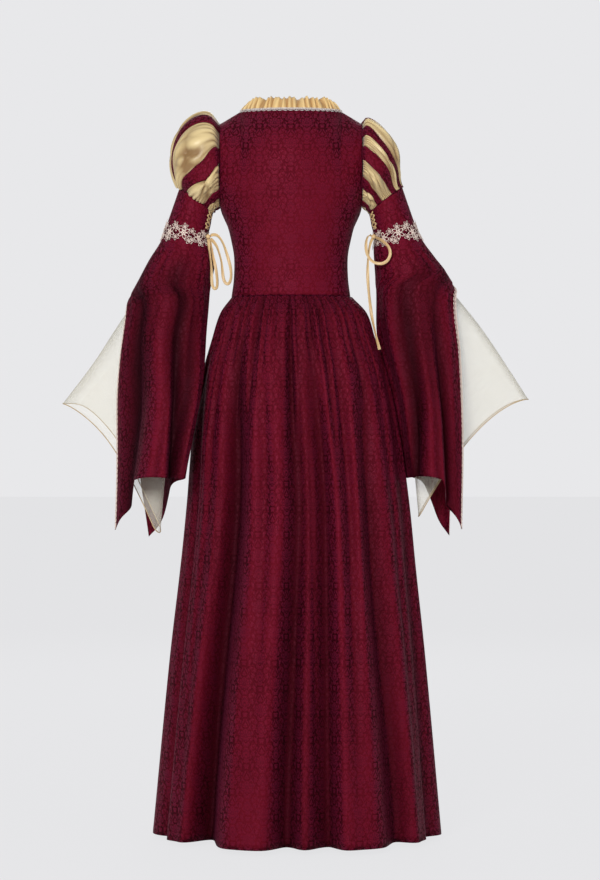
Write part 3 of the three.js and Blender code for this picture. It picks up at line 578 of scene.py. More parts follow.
SIDES = ("left", "right")
KNOT_RADIUS = 5
KNOT_LIFT = 1.6 + SEAM + 5.2  # the sleeve's cloth, the gap and the knot
KNOT = {side: to_side(ring_point(CUFF, 152, -6, CUFF["radius"] + KNOT_LIFT), side) for side in SIDES}
ROUTES = {
    "ribbon_left_long_loop": [
        (-4.8, 1, 2.2), (-10, 3, 3.5), (-17, 6, 2), (-24, 9, -5), (-30, 12, -16), (-35, 15, -30),
        (-40, 18, -46), (-44, 20, -63), (-45, 21, -78), (-43, 21, -88), (-39, 21, -93), (-34, 20, -91),
        (-30, 19, -82), (-28, 17, -66), (-26, 15, -50), (-22, 12, -34), (-17, 9, -20), (-11, 6, -11),
        (-4.4, 2, -4.2)],
    "ribbon_left_short_loop": [
        (-0.4, 4.4, -5.2), (-1, 7, -11), (-2, 9, -22), (-4, 11, -38), (-6, 12, -56), (-7, 13, -74),
        (-7.5, 13, -88), (-9, 13, -97), (-13, 13, -102), (-17, 13, -99), (-18, 13, -90), (-17, 12, -76),
        (-14, 11, -58), (-10, 9, -40), (-7, 7, -24), (-5, 5, -12), (-3, 4.6, -5.2)],
    "ribbon_right_loop": [
        (-4.6, 2, 2.2), (-9, 6, 2), (-13, 10, -4), (-15, 14, -13), (-15, 18, -24), (-13, 22, -35),
        (-8, 25, -45), (-1, 27, -51), (7, 28.5, -54), (16, 30, -54), (24, 32, -50), (29, 33.5, -43),
        (31, 34, -34), (29, 33, -25), (24, 31, -17), (17, 26, -11), (11, 18, -6), (4.6, 3.8, -2)],
    "ribbon_right_tail": [
        (-2, 3.4, -4.2), (-5, 7, -10), (-8, 11, -20), (-10, 14, -34), (-11.5, 16, -50), (-12, 18, -68),
        (-11.5, 20, -88), (-10, 22, -108), (-8, 24, -128), (-5.5, 27, -148), (-2.5, 31, -166),
        (1, 36, -183), (4.5, 41, -199), (8, 46, -213), (10, 49, -221)],
}


# %% A smooth line through a route's points, and a tube along a line
def smooth_line(points, step):
    """Points at even steps along a smooth curve through the given ones, in the same unit."""
    points = np.array(points, float)
    gaps = np.linalg.norm(np.diff(points, axis=0), axis=1) ** 0.5
    keys = np.concatenate([[0], np.cumsum(gaps)])
    fine = read(np.column_stack([keys, points]), np.linspace(0, keys[-1], 40 * len(points))).T
    far = far_along(fine)
    at = np.linspace(0, far[-1], max(2, int(round(far[-1] / step))) + 1)
    return walk(at, far, fine), far[-1]


def oval(wide, high, corners):
    t = np.linspace(0, 2 * np.pi, corners, endpoint=False)
    return np.stack([wide * np.cos(t), high * np.sin(t)], axis=1)


CORNERS = ((0, 0), (0, 1), (1, 1), (1, 0))


def ring_quads(rings, sides, closed=False, start=0):
    """Quads between neighbouring rings of points, and from the last to the first if closed."""
    return [[start + (i + di) % rings * sides + (j + dj) % sides for di, dj in CORNERS]
            for i in range(rings if closed else rings - 1) for j in range(sides)]


def clear_selection():
    bpy.ops.object.select_all(action="DESELECT")


def solid_piece(name, points, faces, uv, finish):
    """A closed piece of points in millimetres, with every face turned out."""
    mesh = new_mesh(name, points, faces, uv)
    mesh.materials.append(finish)
    piece = add_object(name, mesh)
    clear_selection()
    piece.select_set(True)
    bpy.context.view_layer.objects.active = piece
    bpy.ops.object.mode_set(mode="EDIT")
    bpy.ops.mesh.select_all(action="SELECT")
    bpy.ops.mesh.normals_make_consistent(inside=False)
    bpy.ops.object.mode_set(mode="OBJECT")
    mesh.shade_smooth()
    return piece


def tube(name, line, section, face, finish, closed=False):
    """A tube along a line in millimetres. section is a list of (across, out), and face is the
    direction that out leans to."""
    ways = np.roll(line, -1, axis=0) - np.roll(line, 1, axis=0) if closed else np.gradient(line, axis=0)
    tangent, section = unit(ways), np.array(section, float)
    across = unit(np.cross(tangent, face))
    out = np.cross(across, tangent)
    rings = line[:, None] + across[:, None] * section[None, :, :1] + out[:, None] * section[None, :, 1:]
    n, k = rings.shape[:2]
    around = far_along(np.vstack([section, section[:1]])) * MM
    step = np.linalg.norm(line[1] - line[0]) * MM
    faces = ring_quads(n, k, closed)
    uv = [(around[c + dc], (r + dr) * step) for r in range(n if closed else n - 1) for c in range(k)
          for dr, dc in CORNERS]
    if not closed:
        faces += [list(range(k))[::-1], list(range(n * k - k, n * k))]
        uv += [(0, 0)] * (2 * k)
    return solid_piece(name, rings, faces, uv, finish)


FLAT = [(3.0, 0.0), (2.6, 0.3), (1.0, 0.6), (-1.0, 0.6), (-2.6, 0.3), (-3.0, 0.0),
        (-2.6, -0.3), (-1.0, -0.1), (1.0, -0.1), (2.6, -0.3)]
for name, route in ROUTES.items():
    side = name.split("_")[1]
    line, length = smooth_line(to_side(np.array(route, float), side) + KNOT[side], 2.2)
    twist = 0.75 * np.sin(np.linspace(0, length / 24, len(line)) + length) + 0.2
    face = np.stack([np.sin(twist), np.cos(twist), 0 * twist], axis=1)
    ribbon = settle(tube(name + "_satin", line, FLAT, face, ribbon_satin), "satin", name)
    (line[0] * MM).tolist()
    (line * MM).tolist()
    print(name, "length", round(length), "mm")

# %% [markdown]
# ## Bodice
# The back and the front are cut from brocade with curved side seams. Level arcs go from seam to seam
# through the centre line, and the top edge is drawn up to the shoulder seam and the neckline. The
# wearer's back pulls the cloth nearly smooth, so only soft drag lines are left by the armholes.

# %% Bodice sizes
WAIST_Z = -350
NECK = {"x": 98, "shoulderZ": 12, "backY": 58, "backZ": 10, "frontY": 112, "frontZ": -112}
ARM_V, NECK_U = 0.42, 0.6
CENTRE_LINE = {
    "back": [(0, 82), (0.25, 87), (0.5, 99), (0.7, 103), (0.85, 92), (1, 58)],
    "front": [(0, 82), (0.25, 93), (0.5, 109), (0.75, 119), (0.9, 117), (1, 112)],
}
SIDE_SEAM = [(0, 116), (0.2, 111.5), (0.45, 111), (0.65, 117), (0.85, 126), (1, 138)]
WAY = {"back": 1, "front": -1}
NECK_CURVE = {"back": (1, 1, 1), "front": (0.75, 0.6, 0.6)}  # powers: the front is a wide, square U


def panel_edge(v, name):
    v = np.asarray(v, float)
    rise = np.clip(v / ARM_V, 0, 1)
    turn = 180 * (1 - np.clip((v - ARM_V) / (1 - ARM_V), 0, 1))
    low = v <= ARM_V
    x = np.where(low, read(SIDE_SEAM, rise)[0], ARMHOLE["x"])
    y = np.where(low, SEAM / 2, ARMHOLE["depth"] * sin(turn) + SEAM / 2) * WAY[name]
    z = np.where(low, mix(WAIST_Z, ARMHOLE["z"] - ARMHOLE["height"], rise),
                 ARMHOLE["z"] + ARMHOLE["height"] * cos(turn))
    return np.stack([x, y, z], axis=-1)


def panel_arc(u, v, name):
    edge = panel_edge(v, name)
    centre_y = read(CENTRE_LINE[name], v)[0] * WAY[name]
    centre_z = mix(WAIST_Z, NECK[name + "Z"], v)
    reach = mix(90, 62, ease(v, ARM_V - 0.1, 0.75))
    angle = reach * np.abs(u)
    bow = (cos(angle) - cos(reach)) / (1 - cos(reach))
    return np.stack([np.sign(u) * edge[..., 0] * sin(angle) / sin(reach),
                     mix(edge[..., 1], centre_y, bow), mix(edge[..., 2], centre_z, bow)], axis=-1)


def panel_top(u, name):
    out, sign = np.abs(u), np.where(u < 0, -1, 1)
    tip = panel_edge(1.0, name)
    share = np.clip((out - NECK_U) / (1 - NECK_U), 0, 1)
    neck = np.array([NECK["x"], WAY[name] * SEAM / 2, NECK["shoulderZ"]])
    seam = neck + (tip - neck) * share[..., None]
    turn = 90 * (1 - np.clip(out / NECK_U, 0, 1))
    steep, wide, full = NECK_CURVE[name]
    drop = sin(turn) ** steep
    line = np.stack([NECK["x"] * np.abs(cos(turn)) ** wide, WAY[name] * NECK[name + "Y"] * drop ** full,
                     mix(NECK["shoulderZ"], NECK[name + "Z"], drop)], axis=-1)
    top = np.where((out >= NECK_U)[..., None], seam, line)
    return top * np.stack([sign, np.ones_like(out), np.ones_like(out)], axis=-1)


def bodice_point(u, v, name):
    p = panel_arc(u, v, name)
    to_top = panel_top(u, name) - panel_arc(u, np.ones_like(v), name)
    p = p + to_top * (ease(v, 0.5, 1) ** 1.3)[..., None]
    if name == "front":
        full = np.exp(-(((np.abs(p[..., 0]) - 70) / 42) ** 2) - ((p[..., 2] + 195) / 55) ** 2)
        p[..., 1] -= 11 * full
    p[..., 2] += SEAM / 2 * (1 - v)
    return p


# %% Make the two bodice panels
across = np.unique(np.round(np.append(np.linspace(-1, 1, 121), [-NECK_U, NECK_U]), 5))
down = np.unique(np.round(np.append(np.linspace(0, 1, 91), ARM_V), 5))[::-1]
bodice_grids = {}
for name in WAY:
    grid = grid_of(lambda u, v: bodice_point(u, v, name), across, down)
    u, v = np.meshgrid(across, down)
    inside = np.clip((1 - np.abs(u)) * 4, 0, 1) * np.clip(v * 12, 0, 1) * np.clip((1 - v) * 9, 0, 1)
    drag = 0.8 * wobble(u * 5 + v * 3, v * 14 - np.abs(u) * 5, 1.1) * ease(np.abs(u), 0.35, 0.95)
    drag += 0.5 * wobble(u * 3, v * 20, 2.7) * (1 - ease(v, 0.0, 0.3))
    drag -= 0.5 * bump(u, 0, 0.008) * (1 - ease(v, 0.6, 0.9))
    normals = normals_of(grid, False)
    bodice_grids[name] = (grid, normals)
    dragged = grid + normals * (drag * inside)[..., None]
    panel = cloth("bodice_" + name, dragged, arc_uv(grid), brocade, "brocade")

# %% [markdown]
# ## Neck ruffle and braid
# A strip of gold satin is gathered and stands up round the neckline, leaning in. Its top edge waves
# more than its base, and no two of its waves are alike. A scalloped braid covers the seam below it.

# %% The line round the neckline
def neck_line():
    top = {name: np.array([bodice_point(np.array(u), np.array(1.0), name)
                           for u in np.linspace(-NECK_U, NECK_U, 161)]) for name in WAY}
    return np.concatenate([top["back"], top["front"][::-1][1:-1], top["back"][:1]])


NECK_LOOP = neck_line()
NECK_FAR = far_along(NECK_LOOP)


def neck_at(share):
    return walk((np.asarray(share, float) % 1) * NECK_FAR[-1], NECK_FAR, NECK_LOOP)


def neck_out(share):
    """The level direction away from the neck."""
    along = neck_at(share + 0.01) - neck_at(share - 0.01)
    out = unit(np.stack([along[..., 1], -along[..., 0], 0 * along[..., 0]], axis=-1))
    facing = (out * neck_at(share) * [1, 1, 0]).sum(axis=-1, keepdims=True)
    return np.where(facing < 0, -out, out)


# %% Make the ruffle
RUFFLE = {"height": 26, "waves": 56, "wave": 4.4, "lean": -0.7}


def ruffle_wave(share, rise):
    """The gathered edge, from about -1 on the inside to 1 on the outside, and the waves' phase."""
    warp = share + 0.0035 * np.sin(2 * np.pi * 17 * share) + 0.002 * np.sin(2 * np.pi * 29 * share + 1)
    waves = 2 * np.pi * RUFFLE["waves"] * warp
    small = 0.3 * np.sin(2.7 * waves + 3 * rise + 2 * np.sin(0.21 * waves))
    slow = 0.35 * np.cos(0.5 * waves + 2) * rise
    return np.cos(waves + 0.9 * np.sin(0.37 * waves) * rise) + slow + small, waves


def ruffle_point(share, rise):
    wave, waves = ruffle_wave(share, rise)
    lean = RUFFLE["lean"] * RUFFLE["height"] * rise ** 1.4
    swing = wave * mix(0.6, RUFFLE["wave"], rise) - 0.8 + lean
    tips = sum(bump(share, tip, 0.03) for tip in (0, 1, NECK_FAR[160] / NECK_FAR[-1]))
    uneven = 1 + (0.06 * np.sin(waves * 0.33) + 0.05 * wave - 0.07) * rise
    p = neck_at(share) + neck_out(share) * swing[..., None]
    p[..., 2] += 3 * SEAM + rise * RUFFLE["height"] * uneven * (1 - 0.4 * tips)
    return p


# Painted shade in the ruffle's inward waves, lighter towards its top edge.
def ruffle_dark(share, rise):
    return np.clip(0.5 - 0.45 * ruffle_wave(share, rise)[0], 0, 1) ** 1.3 * (0.95 - 0.3 * rise)


shares, rises = np.linspace(0, 1, 57 * 14 + 1)[:-1], np.linspace(1, 0, 12)
grid = grid_of(ruffle_point, shares, rises)
frill = cloth("neck_ruffle", grid, flat_uv(grid, 1.1, closed=True), ruffle_satin, "satin", thick=0.5,
              closed=True, shade=grid_of(ruffle_dark, shares, rises))


# %% A scalloped braid: small thread loops side by side under a cord, laid along a line
def thread_ring(steps, sides, long, wide, thick):
    """One flat loop of thread, as points (across, up, out) and quads."""
    turns, section = np.linspace(0, 2 * np.pi, steps, endpoint=False), oval(thick, thick, sides)
    points = [((wide + x) * np.cos(a), (long + x) * np.sin(a), z) for a in turns for x, z in section]
    return np.array(points), ring_quads(steps, sides, closed=True)


def thread_piece(name, points, quads, flat, finish):
    """A closed piece of thread. flat holds the flat coordinates of each of its points."""
    uv = [flat[i] for face in quads for i in face]
    piece = solid_piece(name + "_thread", points, quads, uv, finish)
    print(piece.name, len(piece.data.polygons), "faces")
    return settle(piece, "lace" if name.startswith("lace") else "braid", name)


NECK_BRAID, SPLIT_BRAID = (10.5, 7.5), (9.5, 7.0)  # pitch of the loops and width


def braid_along(name, line, up, out, pitch, width, finish):
    """Loops and a cord along a line in millimetres, given its up and out directions at each point."""
    far = far_along(line)
    count, segments, sides = max(2, int(far[-1] / pitch)), max(8, int(far[-1] / 4)), 6
    big = thread_ring(14, 6, width * 0.36, pitch * 0.42, 0.55)
    small = thread_ring(10, 5, width * 0.14, pitch * 0.13, 0.4)
    points, quads, flat = [], [], []

    def along(at, up_by, out_by):
        at = np.clip(at, 0, far[-1])
        ups, outs = walk(at, far, up), walk(at, far, out)
        return walk(at, far, line) + ups * up_by[..., None] + outs * out_by[..., None]

    def put(ring, at, up_by, out_by):
        shape, faces = ring
        start = len(points)
        points.extend(along(at + shape[:, 0], up_by + shape[:, 1], out_by + shape[:, 2]))
        flat.extend(zip((at + shape[:, 0]) * MM, (up_by + shape[:, 1]) * MM))
        quads.extend([[start + i for i in face] for face in faces])

    for i in range(count):
        at = (i + 0.5) * far[-1] / count
        put(big, at, -width * 0.14, 0.5)
        put(small, at, -width * 0.1, 0.75)
        put(small, at + pitch / 2, width * 0.3, 0.6)
    start, cord = len(points), oval(0.45, 0.45, sides)
    around = np.linspace(0, 2 * np.pi, sides, endpoint=False) * MM
    for at in far[-1] * np.arange(segments + 1) / segments:
        points.extend(along(np.full(sides, at), width * 0.42 + cord[:, 0], 0.5 + cord[:, 1]))
        flat.extend(zip(np.full(sides, at) * MM, around))
    quads += ring_quads(segments + 1, sides, start=start)
    quads += [list(range(start, start + sides)), list(range(len(points) - sides, len(points)))]
    return thread_piece(name, points, quads, flat, finish)


for name in WAY:
    grid, normals = bodice_grids[name]
    cols = np.abs(across) <= NECK_U * 0.99
    out, up = normals[0, cols], unit(grid[0, cols] - grid[3, cols])
    line = grid[0, cols] - up * 1.2 + out * 1.2
    braid_along("neck_braid_" + name, line, up, out, *NECK_BRAID, pale_braid)

# %% [markdown]
# ## Skirt
# The skirt is gathered to the waist seam: dozens of narrow tucks start there, run together and open
# into a few deep folds that fall to the hem. The same folds as in the solids carry finer ones here.

# %% Skirt sizes and folds
SKIRT = [
    # drop, half width, depth of the back and of the front, shift to the side
    (0, 118, 84, 84, -2), (30, 143, 106, 102, -5), (80, 160, 128, 120, -6), (150, 182, 148, 138, -9),
    (265, 204, 174, 164, -12), (400, 219, 197, 187, -16), (520, 231, 213, 203, -16),
    (700, 251, 232, 224, -15), (1040, 283, 258, 250, -14),
]
TROUGHS = [
    # waist, middle and hem angle, depth at the middle and the hem, width to the left and right, painted
    # shade
    (79, 69, 71, 12, 24, 6, 5, 0.5), (60, 52, 58, 10, 6, 5, 5, 0.3),
    (39, 33.5, 39.5, 46, 84, 9, 5.5, 1.0), (22, 17, 20, 12, 0, 5, 4, 0.35),
    (4, 0.5, 4.5, 30, 50, 6, 5, 0.85), (-9, -13, -12, 34, 52, 8, 4, 0.8),
    (-26, -26, -24, 22, 0, 4, 4, 0.45), (-46, -38, -43, 24, 46, 5, 7, 0.75),
    (-62, -57, -60, 10, 8, 4, 4, 0.3), (-76, -70, -70, 12, 24, 6, 6, 0.5),
    (104, 105, 106, 14, 30, 7, 6, 0.5), (133, 135, 136, 24, 58, 9, 6, 0.8),
    (160, 158, 157, 20, 44, 7, 6, 0.7), (182, 183, 184, 26, 54, 7, 5, 0.8),
    (209, 210, 211, 18, 40, 8, 5, 0.7), (232, 233, 234, 26, 60, 7, 6, 0.8),
    (266, 265, 264, 24, 26, 9, 6, 0.5),
]
MID_DROP, FULL_DROP = 350, 1040
INWARDS = 0.25  # how much a deep fold away from the sides goes towards the middle, not straight in
CREASES = 46


def apart(angle, other):
    """The turn between two angles, from -180 to 180."""
    return (angle - other + 180) % 360 - 180


def from_trough(angle, drop, row):
    """Nearness to a trough, 1 in it, and its depth at this drop."""
    waist, middle, hem, mid, low, wider, narrower, _ = row
    path = np.where(drop < MID_DROP, mix(waist, middle, ease(drop, 0, MID_DROP)),
                    mix(middle, hem, ease(drop, MID_DROP, FULL_DROP)))
    away = apart(angle, path)
    below = np.clip((drop - MID_DROP) / (FULL_DROP - MID_DROP), 0, None)
    depth = mix(mid * ease(drop, 20, MID_DROP), low, below)
    return bump(away, 0, np.where(away > 0, wider, narrower)), depth


def trough_depth(angle, drop):
    return sum(near * depth for near, depth in (from_trough(angle, drop, row) for row in TROUGHS))


def tucks(angle, drop):
    """The gathers, 0 on a ridge and 1 in a valley: narrow valleys that start at the seam and run out
    lower down, each at its own drop."""
    turns = angle / 180 * 22 + 0.18 * np.sin(angle * 0.31) + 0.1 * np.sin(angle * 0.83 + drop * 0.004)
    size = 0.7 + 0.3 * np.sin(2.4 * turns + 1.3 * np.sin(1.7 * turns))
    ends = 330 + 160 * np.sin(1.9 * turns + 0.6)
    valley = (0.5 - 0.5 * np.cos(2 * np.pi * turns)) ** 1.5 * size * (1 - ease(drop, 50, ends))
    fine = (0.5 - 0.5 * np.cos(2 * np.pi * (turns * 2.6 + 0.3 * np.sin(turns * 3.1)))) ** 1.4
    return valley, fine * (1 - ease(drop, 10, 120))


def tuck_depth(angle, drop):
    valley, fine = tucks(angle, drop)
    return valley * mix(3.4, 9.5, ease(drop, 0, 45)) + 1.8 * fine * ease(drop, -5, 8)


def soft_creases(angle, drop):
    """Long soft creases between the deep folds, each in its own place."""
    total = np.zeros_like(angle)
    for i in range(CREASES):
        chance = [math.sin(i * 12.9898 + k * 78.233) * 43758.5453 % 1 for k in range(5)]
        middle = -90 + 360 * (i + 0.8 * chance[0]) / CREASES + 4 * (chance[1] - 0.5) * drop / FULL_DROP
        start = 60 + 420 * chance[2]
        fades = 1 - ease(drop, start + 350 + 400 * chance[3], start + 900)
        near = bump(apart(angle, middle), 0, 1.3 + 1.6 * chance[1])
        total += (1.2 + 3.2 * chance[4]) * ease(drop, start, start + 160) * fades * near
    return total


def fold_shade(angle, drop):
    """How dark the cloth is painted for lying in a fold or a tuck, and just under the waist seam."""
    lit = np.ones_like(angle)
    for row in TROUGHS:
        near, depth = from_trough(angle, drop, row)
        lit *= 1 - row[-1] * near ** 1.2 * np.clip(depth / (depth + 8), 0, 1)
    valley, fine = tucks(angle, drop)
    lit *= (1 - 0.55 * valley) * (1 - 0.3 * fine * (1 - valley)) * (1 - 0.12 * (1 - ease(drop, 0, 60)))
    return 1 - lit * (1 - 0.035 * soft_creases(angle, drop))


def skirt_point(angle, drop, name):
    half, back, front, shift = read(SKIRT, drop)
    side, fore = sin(angle), cos(angle)
    x, y = half * side, np.where(fore > 0, back, front) * fore
    seam = np.clip(np.abs(fore) * 12, 0, 1)
    depth = tuck_depth(angle, drop) + soft_creases(angle, drop) * seam
    scale = 1 - depth / np.hypot(x, y)
    inwards = side * mix(INWARDS, 1, ease(np.abs(side), 0.75, 1))
    deep = trough_depth(angle, drop) / np.hypot(inwards, fore)
    way = SEAM / 2 if name == "back" else -SEAM / 2
    return np.stack([x * scale - deep * inwards + shift, y * scale - deep * fore + way,
                     WAIST_Z - SEAM / 2 - drop], axis=-1)


# %% Make the two skirt panels
drops = FULL_DROP * np.linspace(0, 1, 105) ** 1.3
for name, start in (("back", -90), ("front", 90)):
    angles = np.linspace(start, start + 180, 291)
    grid = grid_of(lambda a, d: skirt_point(a, d, name), angles, drops)
    panel = cloth("skirt_" + name, grid, arc_uv(grid), brocade, "brocade", thick=0.8,
                  shade=grid_of(fold_shade, angles, drops))
    "bodice_" + name

# %% [markdown]
# ## Puffs and panes
# A puff is a full satin sleeve head, gathered into the armhole and into the band above the elbow.
# Straight brocade panes lie over it and hold it in, so it swells between them.

# %% Puff sizes
PANES = {
    # angle at the armhole and at the band, bow of its way between them, and swell of the puff after it
    "left": [(36, 22, -13, 0.5), (81, 50, 14, 1), (137, 126, 0, 1), (182, 180, 0, 1), (228, 230, 0, 1),
             (276, 290, 0, 1), (330, 334, 0, 0.3)],
    "right": [(6, 0, 0, 0.45), (45, 26, 14, 0.85), (78, 62, 4, 1), (118, 112, 0, 1), (158, 158, 0, 1),
              (212, 214, 0, 1), (286, 294, 0, 0.6)],
}
PANE_HALF = 8.5
PUFF_CENTRE = (155, 0, -125)
PUFF = {
    # how far it stands out on top and under the arm, the way up it leans at each end, its bulge to the
    # sides, its swell between panes, its sag at the band, and how soon it closes there
    "left": {"out": 57, "under": 3, "up": (57, -4), "sides": 26, "swell": 17, "sag": 6, "close": 1},
    "right": {"out": 31, "under": 3, "up": (66, 0), "sides": 26, "swell": 17, "sag": 3, "close": 1.7},
}


def crease(x):
    """A fold with a round top and a sharp valley, from 0 in the valley to 1 on top."""
    return np.abs(np.sin(np.pi * x))


def puff_base(top, end, bow, fullness, v, side):
    """The puff at a column's angles on its two rings. fullness is 0 on a pane and 1 midway."""
    shape = PUFF[side]
    top, end = top + 4 * bow * v * (1 - v), end + 4 * bow * v * (1 - v)
    a0 = np.stack(np.broadcast_arrays(ARMHOLE["x"] + 2 * SEAM, ARMHOLE["depth"] * sin(top),
                                      ARMHOLE["z"] + ARMHOLE["height"] * cos(top)), axis=-1)
    angle = mix(top, end, v)
    upper, under, sideways = np.clip(cos(angle), 0, None), np.clip(-cos(angle), 0, None), sin(angle)
    arc = crease(v ** 0.7) ** mix(0.5, shape["close"], v)
    up = mix(*shape["up"], v)
    swell = shape["swell"] * fullness * (1 - 0.6 * under) * arc
    reach = (shape["out"] * upper ** 0.8 + shape["under"] * under) * arc
    reach = reach + swell * np.clip(upper, 0.3, None)
    spread = shape["sides"] * (1 - 0.55 * under) * arc * np.abs(sideways) ** 0.8
    move = np.stack([reach * cos(up), np.sign(sideways) * spread + swell * sideways,
                     reach * sin(up) * (1 - under)], axis=-1)
    return a0 + (ring_point(PUFF_END, end) - a0) * v[..., None] + move


def puff_columns(side, between):
    """Each column's angles and bow, its share between two panes (0 on a pane), its swell and the pane
    it follows."""
    panes = PANES[side]
    rows = []
    for i, (top, end, bow, swell) in enumerate(panes):
        turn = 360 if i == len(panes) - 1 else 0
        after_top, after_end, after_bow, _ = panes[(i + 1) % len(panes)]
        for t in np.linspace(-PANE_HALF, PANE_HALF, 5)[:-1]:
            rows.append((top + t, end + t, bow, 0, swell, i))
        here = np.array([top + PANE_HALF, end + PANE_HALF, bow])
        there = np.array([after_top + turn - PANE_HALF, after_end + turn - PANE_HALF, after_bow])
        for t in np.linspace(0, 1, between + 1)[:-1]:
            rows.append((*mix(here, there, t), t, swell, i))
    return np.array(rows, float)


def puff_grid(side, between=30, rows=65):
    """The puff's points and the painted shade of each, deepest in its folds."""
    columns = puff_columns(side, between)
    v = np.linspace(0, 1, rows)[:, None] * np.ones(len(columns))
    top, end, bow, t, swell, which = [np.ones((rows, 1)) * columns[:, k] for k in range(6)]
    late = np.where(which == 0, t ** 1.5, t)
    grid = puff_base(top, end, bow, swell * crease(late) ** 0.7, v, side)
    free, middle = crease(t) ** 0.5, np.sin(np.pi * v)
    long_fold = crease(t + 0.7 * np.sin(which * 2.3 + 1) * v + 0.37 * which
                       + 0.25 * wobble(t * 3, v * 4 + which, 0.5))
    cross_fold = crease(1.3 * v - 0.8 * t + 0.61 * which + 0.3 * wobble(t * 4 + which, v * 3, 1.7))
    small = crease(3.1 * t + 1.9 * v * np.cos(which * 1.9) + 0.5 * wobble(t * 5, v * 5 + which, 2.9))
    gather = crease(5.5 * t + 0.4 * np.sin(5 * t + which * 2.1) + 0.3 * which)
    near_arm, near_end = np.exp(-v / (0.14 + 0.06 * np.sin(9 * t + which))), np.exp(-(1 - v) / 0.13)
    lifted = middle * (4.6 * long_fold ** 0.6 + 4.2 * cross_fold ** 0.6 + 1.5 * small - 6)
    ends = ease(v, 0, 0.03) * ease(1 - v, 0, 0.03)
    lifted += (5 * near_arm + 3.4 * near_end) * (gather ** 0.8 - 0.5) * ends
    # Painted shade in the folds' valleys, in the gathers at the armhole and the band, and next to the
    # panes.
    dark = middle * (0.55 * (1 - long_fold) ** 2 + 0.55 * (1 - cross_fold) ** 2 + 0.22 * (1 - small) ** 2)
    dark += 1.1 * (near_arm + near_end) * (1 - gather) ** 1.7 + 0.3 * (1 - free)
    if side == "left":  # the one deep hollow, slanting over the first swell, and the pocket behind it
        hollow = bump(t, 0.65, 0.26) * bump(v + 0.575 * t, 0.79, 0.075) * (which == 0)
        pocket = bump(t, 0.93, 0.08) * bump(v, 0.52, 0.09) * (which == 0)
        lifted -= 9 * hollow + 3 * pocket
        # painted shade in the hollow and the pocket
        dark += 0.8 * hollow + 0.6 * pocket
    arm = np.array([sin(PUFF_END["tilt"]), 0, -cos(PUFF_END["tilt"])])
    sag = PUFF[side]["sag"] * free * ease(v, 0.6, 0.93) * (1 - ease(v, 0.96, 1)) * (0.6 + 0.4 * gather)
    moved = grid + normals_of(grid, True) * (lifted * free)[..., None] + arm * sag[..., None]
    return moved, np.clip(dark, 0, 0.85)


def pane_grid(side, i, rows=41):
    """A strap over the puff, a little uneven in width and height."""
    top, end, bow, _ = PANES[side][i]
    t = np.linspace(-1, 1, 9)
    v = np.linspace(0, 1, rows)[:, None] * np.ones(len(t))
    uneven = 0.15 * np.sin(8 * v + 2.1 * i) + 0.09 * np.sin(17 * v + i)
    half = PANE_HALF * (1 + uneven * np.sin(np.pi * v))

    def strip(shift):
        return puff_base(top + half * t + shift, end + half * t + shift, bow, 0 * v, v, side)

    grid = strip(0)
    normals = unit(np.cross(strip(0.5) - strip(-0.5), np.gradient(grid, axis=0)))
    normals *= np.sign((normals * (grid - PUFF_CENTRE)).sum())
    crown = 2.0 + 0.6 * (1 - t ** 2) + 0.9 * np.sin(9 * v + 2 * i + 0.8 * t) * np.sin(np.pi * v)
    return grid + normals * crown[..., None]


# %% Make the puffs and their panes
for side in SIDES:
    grid, dark = puff_grid(side)
    grid = to_side(grid, side)
    puff = cloth("puff_" + side, grid, flat_uv(grid, 0.6, closed=True), gold_satin, "satin", thick=0.5,
                 closed=True, shade=dark)
    for i in range(len(PANES[side])):
        strip = to_side(pane_grid(side, i), side)
        pane = cloth(f"pane_{side}_{i + 1}", strip, flat_uv(strip), brocade, "brocade", thick=1.2)
        width, length = [round(float(far_down(way)[-1] * MM), 4) for way in (strip.swapaxes(0, 1), strip)]
    "upper_sleeve_" + side

# %% [markdown]
# ## Upper sleeves, lacing and lace bands
# A short brocade tube fits the upper arm. Gold ribbon crosses an opening on its inner side, and a band
# of lace flowers hides the seam to the bell sleeve below.


# %% Make the upper sleeves
def upper_point(angle, v):
    start = ring_point(PUFF_END, angle, 2 * SEAM, PUFF_END["radius"] - 0.5)
    stop = ring_point(CUFF, angle, -SEAM, CUFF["radius"] - 0.4)
    return start + (stop - start) * v[..., None]


for side in SIDES:
    angles, down = np.linspace(0, 360, 97)[:-1], np.linspace(0, 1, 25)
    grid = grid_of(upper_point, angles, down)
    a, v = np.meshgrid(angles, down)
    pulls = 0.5 * wobble(a / 22, v * 7, 0.8) * np.sin(np.pi * v)
    grid = to_side(grid + normals_of(grid, True) * pulls[..., None], side)
    sleeve = cloth("upper_sleeve_" + side, grid, flat_uv(grid, closed=True), brocade, "brocade",
                   closed=True)

# %% Make the lacing
LACING = {"angle": 150, "swing": 9, "from": 0.08, "to": 0.64, "crossings": 4}
for side in SIDES:
    share = np.concatenate([np.linspace(0, 1, 60), np.linspace(1, 0, 60)[1:]])
    back = np.arange(len(share)) > 59
    v = mix(LACING["from"], LACING["to"], share)
    wave = np.cos(np.pi * LACING["crossings"] * share)
    zigzag = 2 / np.pi * np.arcsin(wave * 0.97) * np.where(back, -1, 1)
    p = upper_point(LACING["angle"] + 1.25 * LACING["swing"] * zigzag, v)
    out = unit(p - (upper_point(np.zeros_like(v), v) + upper_point(np.full_like(v, 180), v)) / 2)
    line, out = to_side(p + out * np.where(back, 2.6, 1.3)[:, None], side), to_side(out, side)
    lace = tube("lacing_" + side + "_satin", line, oval(1.5, 0.5, 9), out, ribbon_satin)
    settle(lace, "satin", "lacing_" + side)

# %% [markdown]
# ## Bell sleeves
# A bell sleeve flares from the lace band to a long hem. It is split from below the elbow down, and
# both corners of the split hang low. Its section is an ellipse that turns as it hangs.

